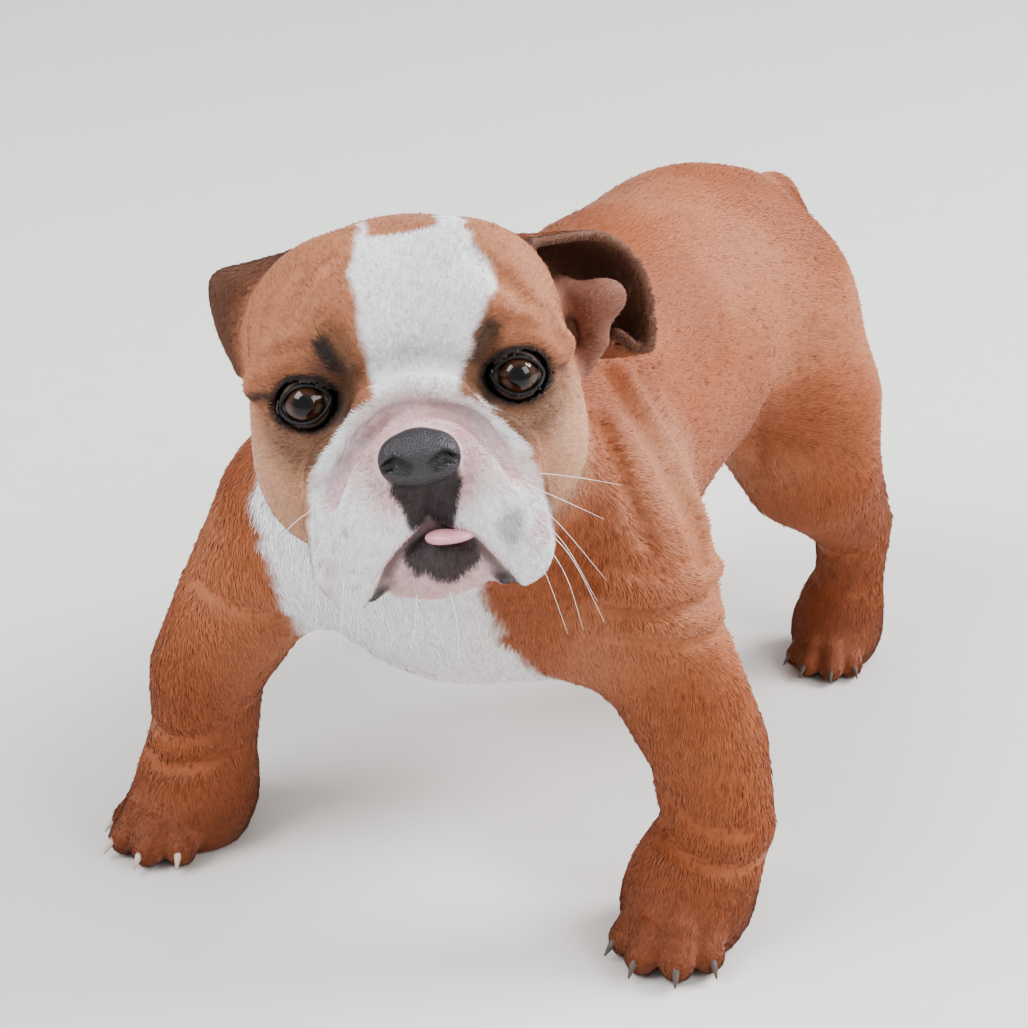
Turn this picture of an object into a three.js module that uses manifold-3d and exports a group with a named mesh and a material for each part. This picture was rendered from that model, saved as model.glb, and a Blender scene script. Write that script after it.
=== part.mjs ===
// An english bulldog puppy standing braced on splayed forelegs, its head turned to its left and tilted.
// Millimetres. The puppy faces -Y, its own left side is +X, and +Z is up from the floor.
// The flesh is one smooth body of rounded masses. It is meshed over its surface and parted by thin
// cuts into the parts a person would name. Nose, eyes, ears, lower jaw and tongue are pieces of their own.
import * as THREE from "three";
import { mergeVertices } from "three/addons/utils/BufferGeometryUtils.js";
import Module from "manifold-3d";

const wasm = await Module();
wasm.setup();

// Driving sizes
const GAP = 0.3; // between parts that touch
const CELL_BODY = 13.5; // mesh sizes: trunk and neck, legs, paws and tail, face
const CELL_LEG = 10.5;
const CELL_PAW = 8.2;
const CELL_FACE = 6.3;
const EYE_RADIUS = 11;
const EYE_BACK = -26; // depth of the eyes' middles
const EYE_SIDE = 39.5; // each eye from the middle of the face
const EYE_HIGH = 7.5;
const HEAD_AT = [17, -58, 249];
const HEAD_TURN = 30; // degrees to its own left
const HEAD_LIFT = 15; // degrees up
const HEAD_TILT = 7; // degrees, crown towards its own right

const rad = THREE.MathUtils.degToRad;
const V = (p) => new THREE.Vector3(...p);

const headMatrix = new THREE.Matrix4()
  .makeTranslation(...HEAD_AT)
  .multiply(new THREE.Matrix4().makeRotationZ(rad(HEAD_TURN)))
  .multiply(new THREE.Matrix4().makeRotationX(rad(-HEAD_LIFT)))
  .multiply(new THREE.Matrix4().makeRotationY(rad(-HEAD_TILT)));
const headInverse = headMatrix.clone().invert();

// Distance fields: each takes x, y, z and gives the distance to a surface, negative inside.
const ball = ([cx, cy, cz], [rx, ry, rz]) => (x, y, z) => {
  const a = (x - cx) / rx, b = (y - cy) / ry, c = (z - cz) / rz;
  const k0 = Math.hypot(a, b, c);
  const k1 = Math.hypot(a / rx, b / ry, c / rz);
  return k1 < 1e-9 ? -Math.min(rx, ry, rz) : (k0 * (k0 - 1)) / k1;
};
const nearestOn = (points, x, y, z) => {
  let best = Infinity, at = 0;
  for (let i = 0; i + 1 < points.length; i++) {
    const [ax, ay, az] = points[i], [bx, by, bz] = points[i + 1];
    const dx = bx - ax, dy = by - ay, dz = bz - az;
    let t = ((x - ax) * dx + (y - ay) * dy + (z - az) * dz) / (dx * dx + dy * dy + dz * dz);
    t = Math.min(1, Math.max(0, t));
    const d = Math.hypot(x - ax - t * dx, y - ay - t * dy, z - az - t * dz);
    if (d < best) {
      best = d;
      at = i + t;
    }
  }
  return [best, at];
};
const limb = (points, radii) => (x, y, z) => {
  let best = Infinity;
  for (let i = 0; i + 1 < points.length; i++) {
    const [d, t] = nearestOn([points[i], points[i + 1]], x, y, z);
    best = Math.min(best, d - (radii[i] + (radii[i + 1] - radii[i]) * t));
  }
  return best;
};
const smoothMin = (a, b, k) => {
  const h = Math.max(k - Math.abs(a - b), 0) / k;
  return Math.min(a, b) - (h * h * k) / 4;
};
const blend = (k, ...fields) => (x, y, z) => {
  let d = fields[0](x, y, z);
  for (let i = 1; i < fields.length; i++) d = smoothMin(d, fields[i](x, y, z), k);
  return d;
};
const hollowed = (k, field, cutter) => (x, y, z) => -smoothMin(-field(x, y, z), cutter(x, y, z), k);
const both = (make) => [make(1), make(-1)];

// Trunk: rib cage, chest front, loin, rump, shoulders and haunches
const trunk = blend(
  34,
  ball([0, 62, 176], [74, 100, 78]),
  ball([0, -4, 166], [70, 44, 62]),
  ball([2, 160, 192], [68, 86, 65]),
  ball([4, 236, 196], [64, 56, 60]),
  ...both((s) => ball([64 * s, 14, 166], [33, 42, 50])),
  ball([50, 244, 152], [30, 46, 62]),
  ball([-42, 244, 152], [30, 46, 62]),
);
const neckMass = limb([[0, 40, 196], [2, -8, 206], [6, -40, 226]], [58, 58, 52]);
const tailMass = limb([[8, 272, 220], [11, 300, 222], [13, 318, 208], [14, 326, 190]], [22, 15, 12, 9]);

// Each leg runs from shoulder or hip over elbow or knee and wrist or hock to the paw.
// The root plane parts it from the trunk: a point of it, and the leg's side of it.
const LEGS = {
  foreleg_left: {
    route: [[74, 12, 158], [88, 18, 122], [108, 20, 84], [116, 16, 52], [110, 8, 24]],
    radii: [34, 29, 25.5, 24, 24],
    paw: [106, 4],
    heading: 8,
    root: { at: [64, 12, 114], side: [0.75, 0, -0.66] },
  },
  foreleg_right: {
    route: [[-74, -6, 158], [-92, -20, 120], [-112, -20, 84], [-118, -16, 52], [-120, -20, 24]],
    radii: [34, 29, 25.5, 24.5, 24],
    paw: [-122, -24],
    heading: -14,
    root: { at: [-64, -10, 114], side: [-0.75, 0, -0.66] },
  },
  hindleg_left: {
    route: [[56, 244, 140], [66, 242, 112], [74, 272, 74], [73, 276, 42], [70, 272, 20]],
    radii: [38, 31, 20, 17, 19],
    paw: [70, 266],
    heading: 6,
    root: { at: [40, 250, 124], side: [0.55, 0, -0.83] },
  },
  hindleg_right: {
    route: [[-48, 244, 140], [-60, 240, 112], [-68, 268, 74], [-68, 272, 42], [-68, 264, 20]],
    radii: [38, 31, 20, 17, 19],
    paw: [-68, 258],
    heading: -6,
    root: { at: [-30, 250, 124], side: [-0.55, 0, -0.83] },
  },
};
const TOE_ANGLES = [-38, -13, 13, 38];
const PAW_WIDE = 24; // radius of a front paw's base
const pawMass = ({ paw: [px, py], heading, radii }) => {
  const size = radii[4] / PAW_WIDE;
  const toes = TOE_ANGLES.map((angle) => {
    const a = rad(angle + heading);
    const reach = (Math.abs(angle) < 20 ? 24 : 19) * size;
    const along = (r, z) => [px + Math.sin(a) * r, py - Math.cos(a) * r, z * size];
    return limb([along(6, 22), along(reach, 16), along(reach + 9 * size, 9)], [12 * size, 10 * size, 8 * size]);
  });
  const base = ball([px, py + 2, 17 * size], [25 * size, 26 * size, 20 * size]);
  const wristEnd = limb([[px, py + 6, 28], [px, py, 14]], [22 * size, 22 * size]);
  return blend(5, blend(14, base, wristEnd), ...toes);
};
const legMass = (leg) => blend(12, limb(leg.route, leg.radii), pawMass(leg));

// Head, in its own frame: x to its left, y back into the skull, z up, the eyes level with the origin
const skull = blend(
  16,
  ball([0, 12, 18], [60, 56, 51]),
  ...both((s) => ball([25 * s, -14, 30], [30, 26, 30])),
  ...both((s) => ball([38 * s, 2, -16], [27, 38, 36])),
  ball([0, -14, -16], [46, 34, 36]),
);
const muzzle = blend(
  10,
  ball([0, -36, -22], [36, 27, 24]),
  ...both((s) => ball([23 * s, -43, -42], [21, 20, 26])),
  ...both((s) => ball([31 * s, -38, -55], [15, 19, 16])),
  ball([0, -52, -12], [18, 14, 16]),
  ball([0, -38, -54], [22, 20, 16]),
);
const ROPE_HALF = [[39, -40, -36], [36, -46, -18], [29, -47, -2], [15, -49, 7]];
const ROPE = [...ROPE_HALF, [0, -50, 10], ...ROPE_HALF.toReversed().map(([x, y, z]) => [-x, y, z])];
const noseRope = limb(ROPE, [6, 7, 7.5, 7, 6.5, 7, 7.5, 7, 6]);
const brows = both((s) => limb([[12 * s, -38, 26], [34 * s, -36, 25], [54 * s, -20, 13]], [6, 7.5, 6]));
const orbits = both((s) => ball([EYE_SIDE * s, -46, EYE_HIGH - 1], [13, 9, 10]));
const orbitHollow = (x, y, z) => Math.min(orbits[0](x, y, z), orbits[1](x, y, z));
const UPPER_LIP = [
  [28, -50, -66], [22, -57, -57], [14, -61, -46], [0, -62, -38], [-14, -61, -46], [-22, -57, -57], [-28, -50, -66],
];
const upperLip = limb(UPPER_LIP, [3, 3, 3, 2.4, 3, 3, 3]);
const LOWER_LIP = [[22, -50, -64], [16, -55, -56], [9, -58, -49], [-9, -58, -49], [-16, -55, -56], [-22, -50, -64]];
const lowerLip = limb(LOWER_LIP, [3, 3, 3, 3, 3, 3]);
const face = blend(5, blend(8, blend(9, skull, muzzle), noseRope, ...brows), upperLip, lowerLip);
const headOwn = hollowed(8, face, orbitHollow);

const probe = new THREE.Vector3();
const headField = (x, y, z) => {
  probe.set(x, y, z).applyMatrix4(headInverse);
  return headOwn(probe.x, probe.y, probe.z);
};
const legFields = Object.values(LEGS).map(legMass);
const bodyField = blend(18, blend(26, trunk, neckMass), tailMass, ...legFields);
const flesh = blend(16, bodyField, headField);
const fleshInHead = (x, y, z) => {
  const p = new THREE.Vector3(x, y, z).applyMatrix4(headMatrix);
  return flesh(p.x, p.y, p.z);
};

// Lines of a grid from low to high, spaced by the sizes of its stretches: [[up to, spacing], ...]
const lines = (low, ...stretches) => {
  const out = [low];
  for (const [end, spacing] of stretches) {
    const from = out[out.length - 1];
    const count = Math.max(1, Math.round((end - from) / spacing));
    for (let i = 1; i <= count; i++) out.push(from + ((end - from) * i) / count);
  }
  return out;
};
const CORNERS = [[0, 0, 0], [1, 0, 0], [0, 1, 0], [1, 1, 0], [0, 0, 1], [1, 0, 1], [0, 1, 1], [1, 1, 1]];
const EDGES = [[0, 1], [2, 3], [4, 5], [6, 7], [0, 2], [1, 3], [4, 6], [5, 7], [0, 4], [1, 5], [2, 6], [3, 7]];

// A closed mesh of the surface where the field is 0, one vertex in each cell that the surface crosses.
// Cells on the grid's outside count as empty, so a body that runs out of the grid is closed there.
function surfaceOf(field, xs, ys, zs) {
  const n = [xs.length, ys.length, zs.length];
  const at = (i, j, k) => (k * n[1] + j) * n[0] + i;
  const values = new Float32Array(n[0] * n[1] * n[2]);
  for (let k = 0; k < n[2]; k++)
    for (let j = 0; j < n[1]; j++)
      for (let i = 0; i < n[0]; i++) {
        const edge = !i || !j || !k || i === n[0] - 1 || j === n[1] - 1 || k === n[2] - 1;
        const d = field(xs[i], ys[j], zs[k]);
        values[at(i, j, k)] = edge ? Math.max(d, 2) : d;
      }
  const vertexOf = new Int32Array(values.length).fill(-1);
  const positions = [];
  const faces = [];
  for (let k = 0; k + 1 < n[2]; k++)
    for (let j = 0; j + 1 < n[1]; j++)
      for (let i = 0; i + 1 < n[0]; i++) {
        const v = CORNERS.map(([a, b, c]) => values[at(i + a, j + b, k + c)]);
        const sum = [0, 0, 0];
        let crossings = 0;
        for (const [a, b] of EDGES) {
          if (v[a] < 0 === v[b] < 0) continue;
          const t = v[a] / (v[a] - v[b]);
          for (let m = 0; m < 3; m++) sum[m] += CORNERS[a][m] + (CORNERS[b][m] - CORNERS[a][m]) * t;
          crossings++;
        }
        if (!crossings) continue;
        const low = [xs[i], ys[j], zs[k]];
        const size = [xs[i + 1] - xs[i], ys[j + 1] - ys[j], zs[k + 1] - zs[k]];
        const p = low.map((l, m) => l + (sum[m] / crossings) * size[m]);
        const outermost = i < 1 || j < 1 || k < 1 || i > n[0] - 3 || j > n[1] - 3 || k > n[2] - 3;
        vertexOf[at(i, j, k)] = positions.length / 3;
        positions.push(...(outermost ? p : settled(field, p, Math.min(...size) * 0.45)));
      }
  const quad = (a, b, c, d, flip) => {
    const q = flip ? [a, d, c, b] : [a, b, c, d];
    faces.push(q[0], q[1], q[2], q[0], q[2], q[3]);
  };
  const cell = (i, j, k) => vertexOf[at(i, j, k)];
  for (let k = 0; k + 1 < n[2]; k++)
    for (let j = 0; j + 1 < n[1]; j++)
      for (let i = 0; i + 1 < n[0]; i++) {
        const here = values[at(i, j, k)] < 0;
        if (j && k && here !== values[at(i + 1, j, k)] < 0)
          quad(cell(i, j - 1, k - 1), cell(i, j, k - 1), cell(i, j, k), cell(i, j - 1, k), !here);
        if (i && k && here !== values[at(i, j + 1, k)] < 0)
          quad(cell(i - 1, j, k - 1), cell(i - 1, j, k), cell(i, j, k), cell(i, j, k - 1), !here);
        if (i && j && here !== values[at(i, j, k + 1)] < 0)
          quad(cell(i - 1, j - 1, k), cell(i, j - 1, k), cell(i, j, k), cell(i - 1, j, k), !here);
      }
  const made = new THREE.BufferGeometry();
  made.setAttribute("position", new THREE.Float32BufferAttribute(positions, 3));
  made.setIndex(faces);
  return made;
}
// Moves a point onto the field's surface along its gradient, no further than most.
function settled(field, p, most) {
  const step = 0.5;
  const q = [...p];
  for (let turn = 0; turn < 2; turn++) {
    const d = field(...q);
    const g = [0, 1, 2].map((m) => {
      const up = [...q];
      const down = [...q];
      up[m] += step;
      down[m] -= step;
      return (field(...up) - field(...down)) / (2 * step);
    });
    const size = Math.hypot(...g) || 1;
    const move = Math.max(-most, Math.min(most, d / size));
    q.forEach((_, m) => (q[m] -= (g[m] / size) * move));
  }
  return q;
}

// Solids: a three.js mesh joined and cut, and the largest closed body of the result
const solid = (geometry) => {
  const bare = geometry.clone();
  bare.deleteAttribute("normal");
  bare.deleteAttribute("uv");
  const merged = mergeVertices(bare, 1e-4);
  return new wasm.Manifold(
    new wasm.Mesh({
      numProp: 3,
      vertProperties: new Float32Array(merged.attributes.position.array),
      triVerts: new Uint32Array(merged.index.array),
    }),
  );
};
const largest = (shape) => shape.decompose().sort((a, b) => b.volume() - a.volume())[0];
const toGeometry = (shape) => {
  const mesh = largest(shape).getMesh();
  const made = new THREE.BufferGeometry();
  made.setAttribute("position", new THREE.BufferAttribute(new Float32Array(mesh.vertProperties), 3));
  made.setIndex(new THREE.BufferAttribute(new Uint32Array(mesh.triVerts), 1));
  return made;
};
const inHeadFrame = (geometry) => geometry.clone().applyMatrix4(headMatrix);

// A large block whose one face lies in the plane through a point, off towards the given side by a gap.
const FAR = 900;
const blockBeyond = (at, side, gap = 0) => {
  const block = new THREE.BoxGeometry(FAR, FAR, FAR);
  const normal = V(side).normalize();
  const turn = new THREE.Quaternion().setFromUnitVectors(new THREE.Vector3(0, 0, 1), normal);
  block.applyQuaternion(turn);
  block.translate(...V(at).addScaledVector(normal, FAR / 2 + gap).toArray());
  return solid(block);
};

// Planes between the parts
const HEAD_PLANE = { at: [0, 29.6, -17], side: [0, -0.87, 0.5] }; // in the head's frame
const headSide = V(HEAD_PLANE.side).transformDirection(headMatrix).toArray();
const headAt = V(HEAD_PLANE.at).applyMatrix4(headMatrix).toArray();
const NECK_PLANE = { at: [0, 20, 200], side: [0, -0.707, 0.707] };
const TAIL_PLANE = { at: [10, 290, 222], side: [0, 0.914, 0.406] };
const PAW_TOP = { fore: 44, hind: 36 };
const KNEE = 92;
const MID_BODY = 140;
const floor = blockBeyond([0, 0, 0], [0, 0, -1]);

const span = (low, high, spacing) => lines(low, [high, spacing]);
const body = solid(surfaceOf(flesh, span(-150, 150, CELL_BODY), span(-110, 370, CELL_BODY), span(60, 345, CELL_BODY)));
const neckBlock = blockBeyond(NECK_PLANE.at, NECK_PLANE.side);
const tailBlock = blockBeyond(TAIL_PLANE.at, TAIL_PLANE.side);

const shapes = {};
const legRegion = ({ root, paw }, gap) => {
  const half = paw[1] < MID_BODY ? -1 : 1;
  return blockBeyond(root.at, root.side, gap).intersect(blockBeyond([0, MID_BODY, 0], [0, half, 0]));
};
let torso = body
  .subtract(blockBeyond(NECK_PLANE.at, NECK_PLANE.side, -GAP))
  .subtract(blockBeyond(TAIL_PLANE.at, TAIL_PLANE.side, -GAP));
let neck = body.intersect(neckBlock).subtract(blockBeyond(headAt, headSide, -GAP));
for (const leg of Object.values(LEGS)) {
  torso = torso.subtract(legRegion(leg, -GAP));
  neck = neck.subtract(legRegion(leg, -GAP));
}
shapes.torso = torso;
shapes.neck = neck;
const tailMesh = surfaceOf(flesh, span(-30, 50, CELL_PAW), span(270, 365, CELL_PAW), span(150, 250, CELL_PAW));
shapes.tail = solid(tailMesh).intersect(tailBlock);

// Claws: a small blunt cone from the top of each toe
const CLAW_LONG = 13;
const CLAW_WIDE = 3.4;
const CLAW_DIP = 25; // degrees below level
const claws = ({ paw: [px, py], heading, radii }) => {
  const size = radii[4] / PAW_WIDE;
  return TOE_ANGLES.map((angle) => {
    const a = rad(angle + heading);
    const reach = ((Math.abs(angle) < 20 ? 24 : 19) + 16) * size;
    const cone = new THREE.ConeGeometry(CLAW_WIDE * size, CLAW_LONG * size, 8);
    cone.rotateX(rad(CLAW_DIP - 180));
    cone.rotateZ(a);
    cone.translate(px + Math.sin(a) * reach, py - Math.cos(a) * reach, 8 * size);
    return solid(cone);
  });
};
for (const [name, leg] of Object.entries(LEGS)) {
  const fore = leg.paw[1] < MID_BODY;
  const [px, py] = leg.paw;
  const top = fore ? PAW_TOP.fore : PAW_TOP.hind;
  const side = px > 0 ? [25, 165] : [-165, -25];
  const reach = span(py - 75, py + 85, CELL_LEG);
  const limbMesh = surfaceOf(flesh, span(...side, CELL_LEG), reach, span(top - 16, 190, CELL_LEG));
  const upper = solid(limbMesh).intersect(legRegion(leg, 0)).intersect(blockBeyond([0, 0, top], [0, 0, 1]));
  const around = (c) => span(c - 50, c + 50, CELL_PAW);
  let paw = solid(surfaceOf(flesh, around(px), around(py), span(-9, top + 12, CELL_PAW)));
  paw = paw.subtract(blockBeyond([0, 0, top], [0, 0, 1], -GAP));
  for (const claw of claws(leg)) paw = paw.add(claw);
  paw = paw.subtract(floor);
  const end = name.split("_")[1];
  if (fore) {
    shapes[name] = upper;
    shapes[`forepaw_${end}`] = paw;
  } else {
    shapes[`thigh_${end}`] = upper.intersect(blockBeyond([0, 0, KNEE], [0, 0, 1]));
    shapes[`hock_${end}`] = upper.subtract(blockBeyond([0, 0, KNEE], [0, 0, 1], -GAP));
    shapes[`hindpaw_${end}`] = paw;
  }
}

// Head pieces, in the head's own frame
const headXs = lines(-95, [-48, 12], [48, CELL_FACE], [95, 12]);
const headYs = lines(-90, [-76, 7], [-22, CELL_FACE], [62, 12], [110, 16]);
const headZs = lines(-110, [-80, 8], [22, CELL_FACE], [100, 11]);
const headMesh = solid(surfaceOf(fleshInHead, headXs, headYs, headZs));
const headGrown = solid(surfaceOf((x, y, z) => fleshInHead(x, y, z) - 2 * GAP, headXs, headYs, headZs));

// Eyes: balls with the axes turned a little outwards, and lids as a rounded rim around the opening
const EYE_OUTWARD = 8; // degrees
const EYE_HALF_WIDE = 9.3;
const EYE_HALF_HIGH = 7.8;
const LID_THICK = 2;
const eyeCentre = (s) => V([(EYE_SIDE - 1.5) * s, EYE_BACK, EYE_HIGH]);
const eyeBall = (s, grow = 0) => {
  const made = new THREE.SphereGeometry(EYE_RADIUS + grow, 22, 14);
  made.rotateX(rad(90));
  return made.translate(...eyeCentre(s).toArray());
};
const lidRim = (s) => {
  const turn = new THREE.Quaternion().setFromAxisAngle(V([0, 0, 1]), rad(EYE_OUTWARD * s));
  const points = [];
  for (let i = 0; i < 24; i++) {
    const a = rad(i * 15);
    const x = Math.cos(a) * EYE_HALF_WIDE;
    const z = Math.sin(a) * EYE_HALF_HIGH;
    const y = -Math.sqrt(Math.max(0, EYE_RADIUS ** 2 - x * x - z * z));
    points.push(V([x, y, z]).multiplyScalar(1.06).applyQuaternion(turn).add(eyeCentre(s)));
  }
  return new THREE.TubeGeometry(new THREE.CatmullRomCurve3(points, true), 28, LID_THICK, 6, true);
};

// Nose: a pad with two wings, its nostrils cut in as slanting commas
const nosePad = blend(
  5,
  ball([0, -61, -13], [13, 8.5, 11]),
  ...both((s) => ball([8.5 * s, -62, -13.5], [6, 7, 7.5])),
  ball([0, -62, -24], [6, 5, 7]),
);
const noseAt = (grow) => {
  const grid = [span(-21, 21, 3.2), span(-77, -45, 3.2), span(-38, 4, 3.2)];
  return solid(surfaceOf((x, y, z) => nosePad(x, y, z) - grow, ...grid));
};
const nostril = (s) => {
  const made = new THREE.SphereGeometry(1, 12, 8);
  made.scale(3.6, 5, 2.4);
  made.rotateY(rad(24 * s));
  return solid(made.translate(7 * s, -69, -14));
};

// Lower jaw: the part of the head under the arch of the mouth
const MOUTH = [[-27, -100], [-27, -70], [-21, -55], [-15, -46], [-8, -41.5], [0, -40], [8, -41.5], [15, -46], [21, -55], [27, -70], [27, -100]];
const MOUTH_GAP = 0.9;
const JAW_BACK = -18;
const jawBlock = (grow) => {
  const outline = new THREE.Shape(
    MOUTH.map(([x, z]) => {
      const away = new THREE.Vector2(x, z + 70).normalize();
      return new THREE.Vector2(x + away.x * grow, z + away.y * grow);
    }),
  );
  const made = new THREE.ExtrudeGeometry(outline, { depth: 80 + grow, bevelEnabled: false, curveSegments: 1 });
  made.rotateX(rad(90));
  return solid(made.translate(0, JAW_BACK + grow, 0));
};
const TONGUE = { at: [7.5, -58, -43.6], radii: [8.6, 6, 2.6], slope: 12 };
const tongue = (grow) => {
  const made = new THREE.SphereGeometry(1, 16, 10);
  made.scale(...TONGUE.radii.map((r) => r + grow));
  made.rotateY(rad(TONGUE.slope));
  return solid(made.translate(...TONGUE.at));
};

let head = headMesh.intersect(blockBeyond(HEAD_PLANE.at, HEAD_PLANE.side));
for (const s of [1, -1]) head = head.add(solid(lidRim(s)));
for (const s of [1, -1]) head = head.subtract(solid(eyeBall(s, GAP)));
head = head.subtract(noseAt(GAP)).subtract(tongue(GAP));
shapes.head = head.subtract(jawBlock(MOUTH_GAP));
shapes.lower_jaw = headMesh.intersect(jawBlock(0)).subtract(noseAt(GAP)).subtract(tongue(GAP));
shapes.nose = noseAt(0).subtract(nostril(1)).subtract(nostril(-1));
shapes.tongue = tongue(0);
shapes.eye_left = solid(eyeBall(1));
shapes.eye_right = solid(eyeBall(-1));

// Ears: a sheet from a root curve on the skull to the free rim, cupped backwards between them
const EARS = {
  ear_left: {
    root: [[58, 12, 4], [58, 22, 8], [54, 30, 18], [50, 32, 30], [46, 26, 42], [41, 12, 50]],
    rim: [[76, 12, 8], [86, 14, 5], [93, 15, 10], [95, 16, 26], [88, 11, 44], [74, 5, 52], [54, 0, 54]],
    cup: [5, 16, -1],
  },
  ear_right: {
    root: [[-30, 10, 56], [-36, 18, 54], [-44, 27, 46], [-50, 27, 34], [-53, 21, 25], [-54, 9, 18]],
    rim: [[-36, 4, 61], [-50, 4, 62], [-62, 8, 60], [-69, 12, 50], [-69, 12, 34], [-63, 5, 19]],
    cup: [-3, 9, 2],
  },
};
const EAR_THICK = { root: 5, rim: 2.8 };
const EAR_ALONG = 14;
const EAR_OUT = 5;
const earSheet = ({ root, rim, cup }) => {
  const rootCurve = new THREE.CatmullRomCurve3(root.map(V));
  const rimCurve = new THREE.CatmullRomCurve3(rim.map(V));
  const bow = V(cup);
  const middle = (u, v) => {
    const p = rootCurve.getPoint(u).lerp(rimCurve.getPoint(u), v);
    return p.addScaledVector(bow, Math.sin(Math.PI * v) * Math.sqrt(Math.sin(Math.PI * u)));
  };
  const step = 0.01;
  const across = (u, v) => {
    const [u0, u1] = [Math.max(0.02, u - step), Math.min(0.98, u + step)];
    const [v0, v1] = [Math.max(0, v - step), Math.min(1, v + step)];
    const alongU = middle(u1, v).sub(middle(u0, v));
    const alongV = middle(u, v1).sub(middle(u, v0));
    return alongU.cross(alongV).normalize();
  };
  const positions = [];
  for (const half of [0.5, -0.5])
    for (let j = 0; j <= EAR_OUT; j++)
      for (let i = 0; i <= EAR_ALONG; i++) {
        const [u, v] = [i / EAR_ALONG, j / EAR_OUT];
        const thick = EAR_THICK.root + (EAR_THICK.rim - EAR_THICK.root) * v;
        positions.push(...middle(u, v).addScaledVector(across(u, v), half * thick).toArray());
      }
  const row = EAR_ALONG + 1;
  const other = row * (EAR_OUT + 1);
  const faces = [];
  const quad = (a, b, c, d) => faces.push(a, b, c, a, c, d);
  for (let j = 0; j < EAR_OUT; j++)
    for (let i = 0; i < EAR_ALONG; i++) {
      const a = j * row + i;
      quad(a, a + 1, a + row + 1, a + row);
      quad(other + a, other + a + row, other + a + row + 1, other + a + 1);
    }
  for (let i = 0; i < EAR_ALONG; i++) {
    const top = EAR_OUT * row + i;
    quad(i + 1, i, other + i, other + i + 1);
    quad(top, top + 1, other + top + 1, other + top);
  }
  for (let j = 0; j < EAR_OUT; j++) {
    const a = j * row;
    const b = a + EAR_ALONG;
    quad(a, a + row, other + a + row, other + a);
    quad(b + row, b, other + b, other + b + row);
  }
  const made = new THREE.BufferGeometry();
  made.setAttribute("position", new THREE.Float32BufferAttribute(positions, 3));
  made.setIndex(faces);
  return solid(made);
};
for (const [name, ear] of Object.entries(EARS)) shapes[name] = earSheet(ear).subtract(headGrown);

// Nodes: the head's pieces brought into the body's frame, coloured, and all set on the floor's middle
const COLOURS = {
  coat_red: { color: 0xb4683c, roughness: 0.75 },
  coat_dark: { color: 0x8a4c2c, roughness: 0.75 },
  coat_white: { color: 0xe6dfd8, roughness: 0.75 },
  nose_leather: { color: 0x3b3c42, roughness: 0.45 },
  tongue_pink: { color: 0xd98d90, roughness: 0.35 },
  eye_dark: { color: 0x20140d, roughness: 0.08 },
};
const SLOT_OF = {
  lower_jaw: "coat_white",
  nose: "nose_leather",
  tongue: "tongue_pink",
  eye_left: "eye_dark",
  eye_right: "eye_dark",
  ear_left: "coat_dark",
  ear_right: "coat_dark",
};
const HEAD_PIECES = ["head", "lower_jaw", "nose", "tongue", "eye_left", "eye_right", "ear_left", "ear_right"];
const dog = new THREE.Group();
dog.name = "english_bulldog_puppy";
const bounds = new THREE.Box3();
for (const [name, shape] of Object.entries(shapes)) {
  const slot = SLOT_OF[name] ?? "coat_red";
  const geometry = HEAD_PIECES.includes(name) ? inHeadFrame(toGeometry(shape)) : toGeometry(shape);
  geometry.computeVertexNormals();
  const material = new THREE.MeshStandardMaterial({ name: slot, metalness: 0, ...COLOURS[slot] });
  const mesh = new THREE.Mesh(geometry, material);
  mesh.name = name;
  dog.add(mesh);
  geometry.computeBoundingBox();
  bounds.union(geometry.boundingBox);
}
const middle = bounds.getCenter(new THREE.Vector3());
for (const mesh of dog.children) mesh.geometry.translate(-middle.x, -middle.y, -bounds.min.z);

export default dog;
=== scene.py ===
"""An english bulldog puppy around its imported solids: one skin under a short coat of lying tufts,
wet dark eyes in their lids, nose leather, tongue tip, claws and whiskers, on a pale studio floor."""
import math

import bpy
import numpy as np
from mathutils import Matrix, Vector
from mathutils.kdtree import KDTree


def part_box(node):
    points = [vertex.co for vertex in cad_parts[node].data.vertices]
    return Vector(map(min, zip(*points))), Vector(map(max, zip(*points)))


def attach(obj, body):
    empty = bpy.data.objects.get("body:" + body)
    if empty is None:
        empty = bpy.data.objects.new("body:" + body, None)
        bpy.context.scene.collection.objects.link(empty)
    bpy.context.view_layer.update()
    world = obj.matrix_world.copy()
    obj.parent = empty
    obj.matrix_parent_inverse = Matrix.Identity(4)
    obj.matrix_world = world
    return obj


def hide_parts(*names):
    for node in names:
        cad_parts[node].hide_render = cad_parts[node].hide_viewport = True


bl_info = {
    "name": "Bulldog puppy",
    "version": (1, 0, 0),
    "blender": (4, 5, 0),
    "location": "View3D > Sidebar > Puppy",
    "description": "Dresses the packed solids of a standing bulldog puppy with skin, coat and eyes",
    "category": "Object",
}

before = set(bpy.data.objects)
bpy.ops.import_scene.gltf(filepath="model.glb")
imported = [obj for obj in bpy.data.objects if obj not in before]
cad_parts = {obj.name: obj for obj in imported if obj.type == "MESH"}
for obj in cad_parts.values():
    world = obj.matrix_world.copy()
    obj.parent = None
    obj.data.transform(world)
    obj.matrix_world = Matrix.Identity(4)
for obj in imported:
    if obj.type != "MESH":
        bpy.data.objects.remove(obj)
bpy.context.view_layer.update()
MM = 0.001
BODY = "root"

# Fields: each takes points in millimetres and gives their distance to a surface, negative inside.
# The puppy faces -Y, its own left side is +X, and the floor is at z = 0.


def ball(centre, radii):
    centre, radii = np.array(centre, float), np.array(radii, float)

    def field(p):
        q = (p - centre) / radii
        far = np.sqrt((q * q).sum(1))
        steep = np.sqrt(((q / radii) ** 2).sum(1))
        return far * (far - 1) / np.maximum(steep, 1e-6)

    return field


def to_segment(p, a, b):
    """How far along a straight piece each point lies, from 0 to 1, and its squared distance to it."""
    ab = b - a
    t = np.clip(((p - a) @ ab) / (ab @ ab), 0, 1)
    gap = p - a - t[:, None] * ab
    return t, (gap * gap).sum(1)


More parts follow.
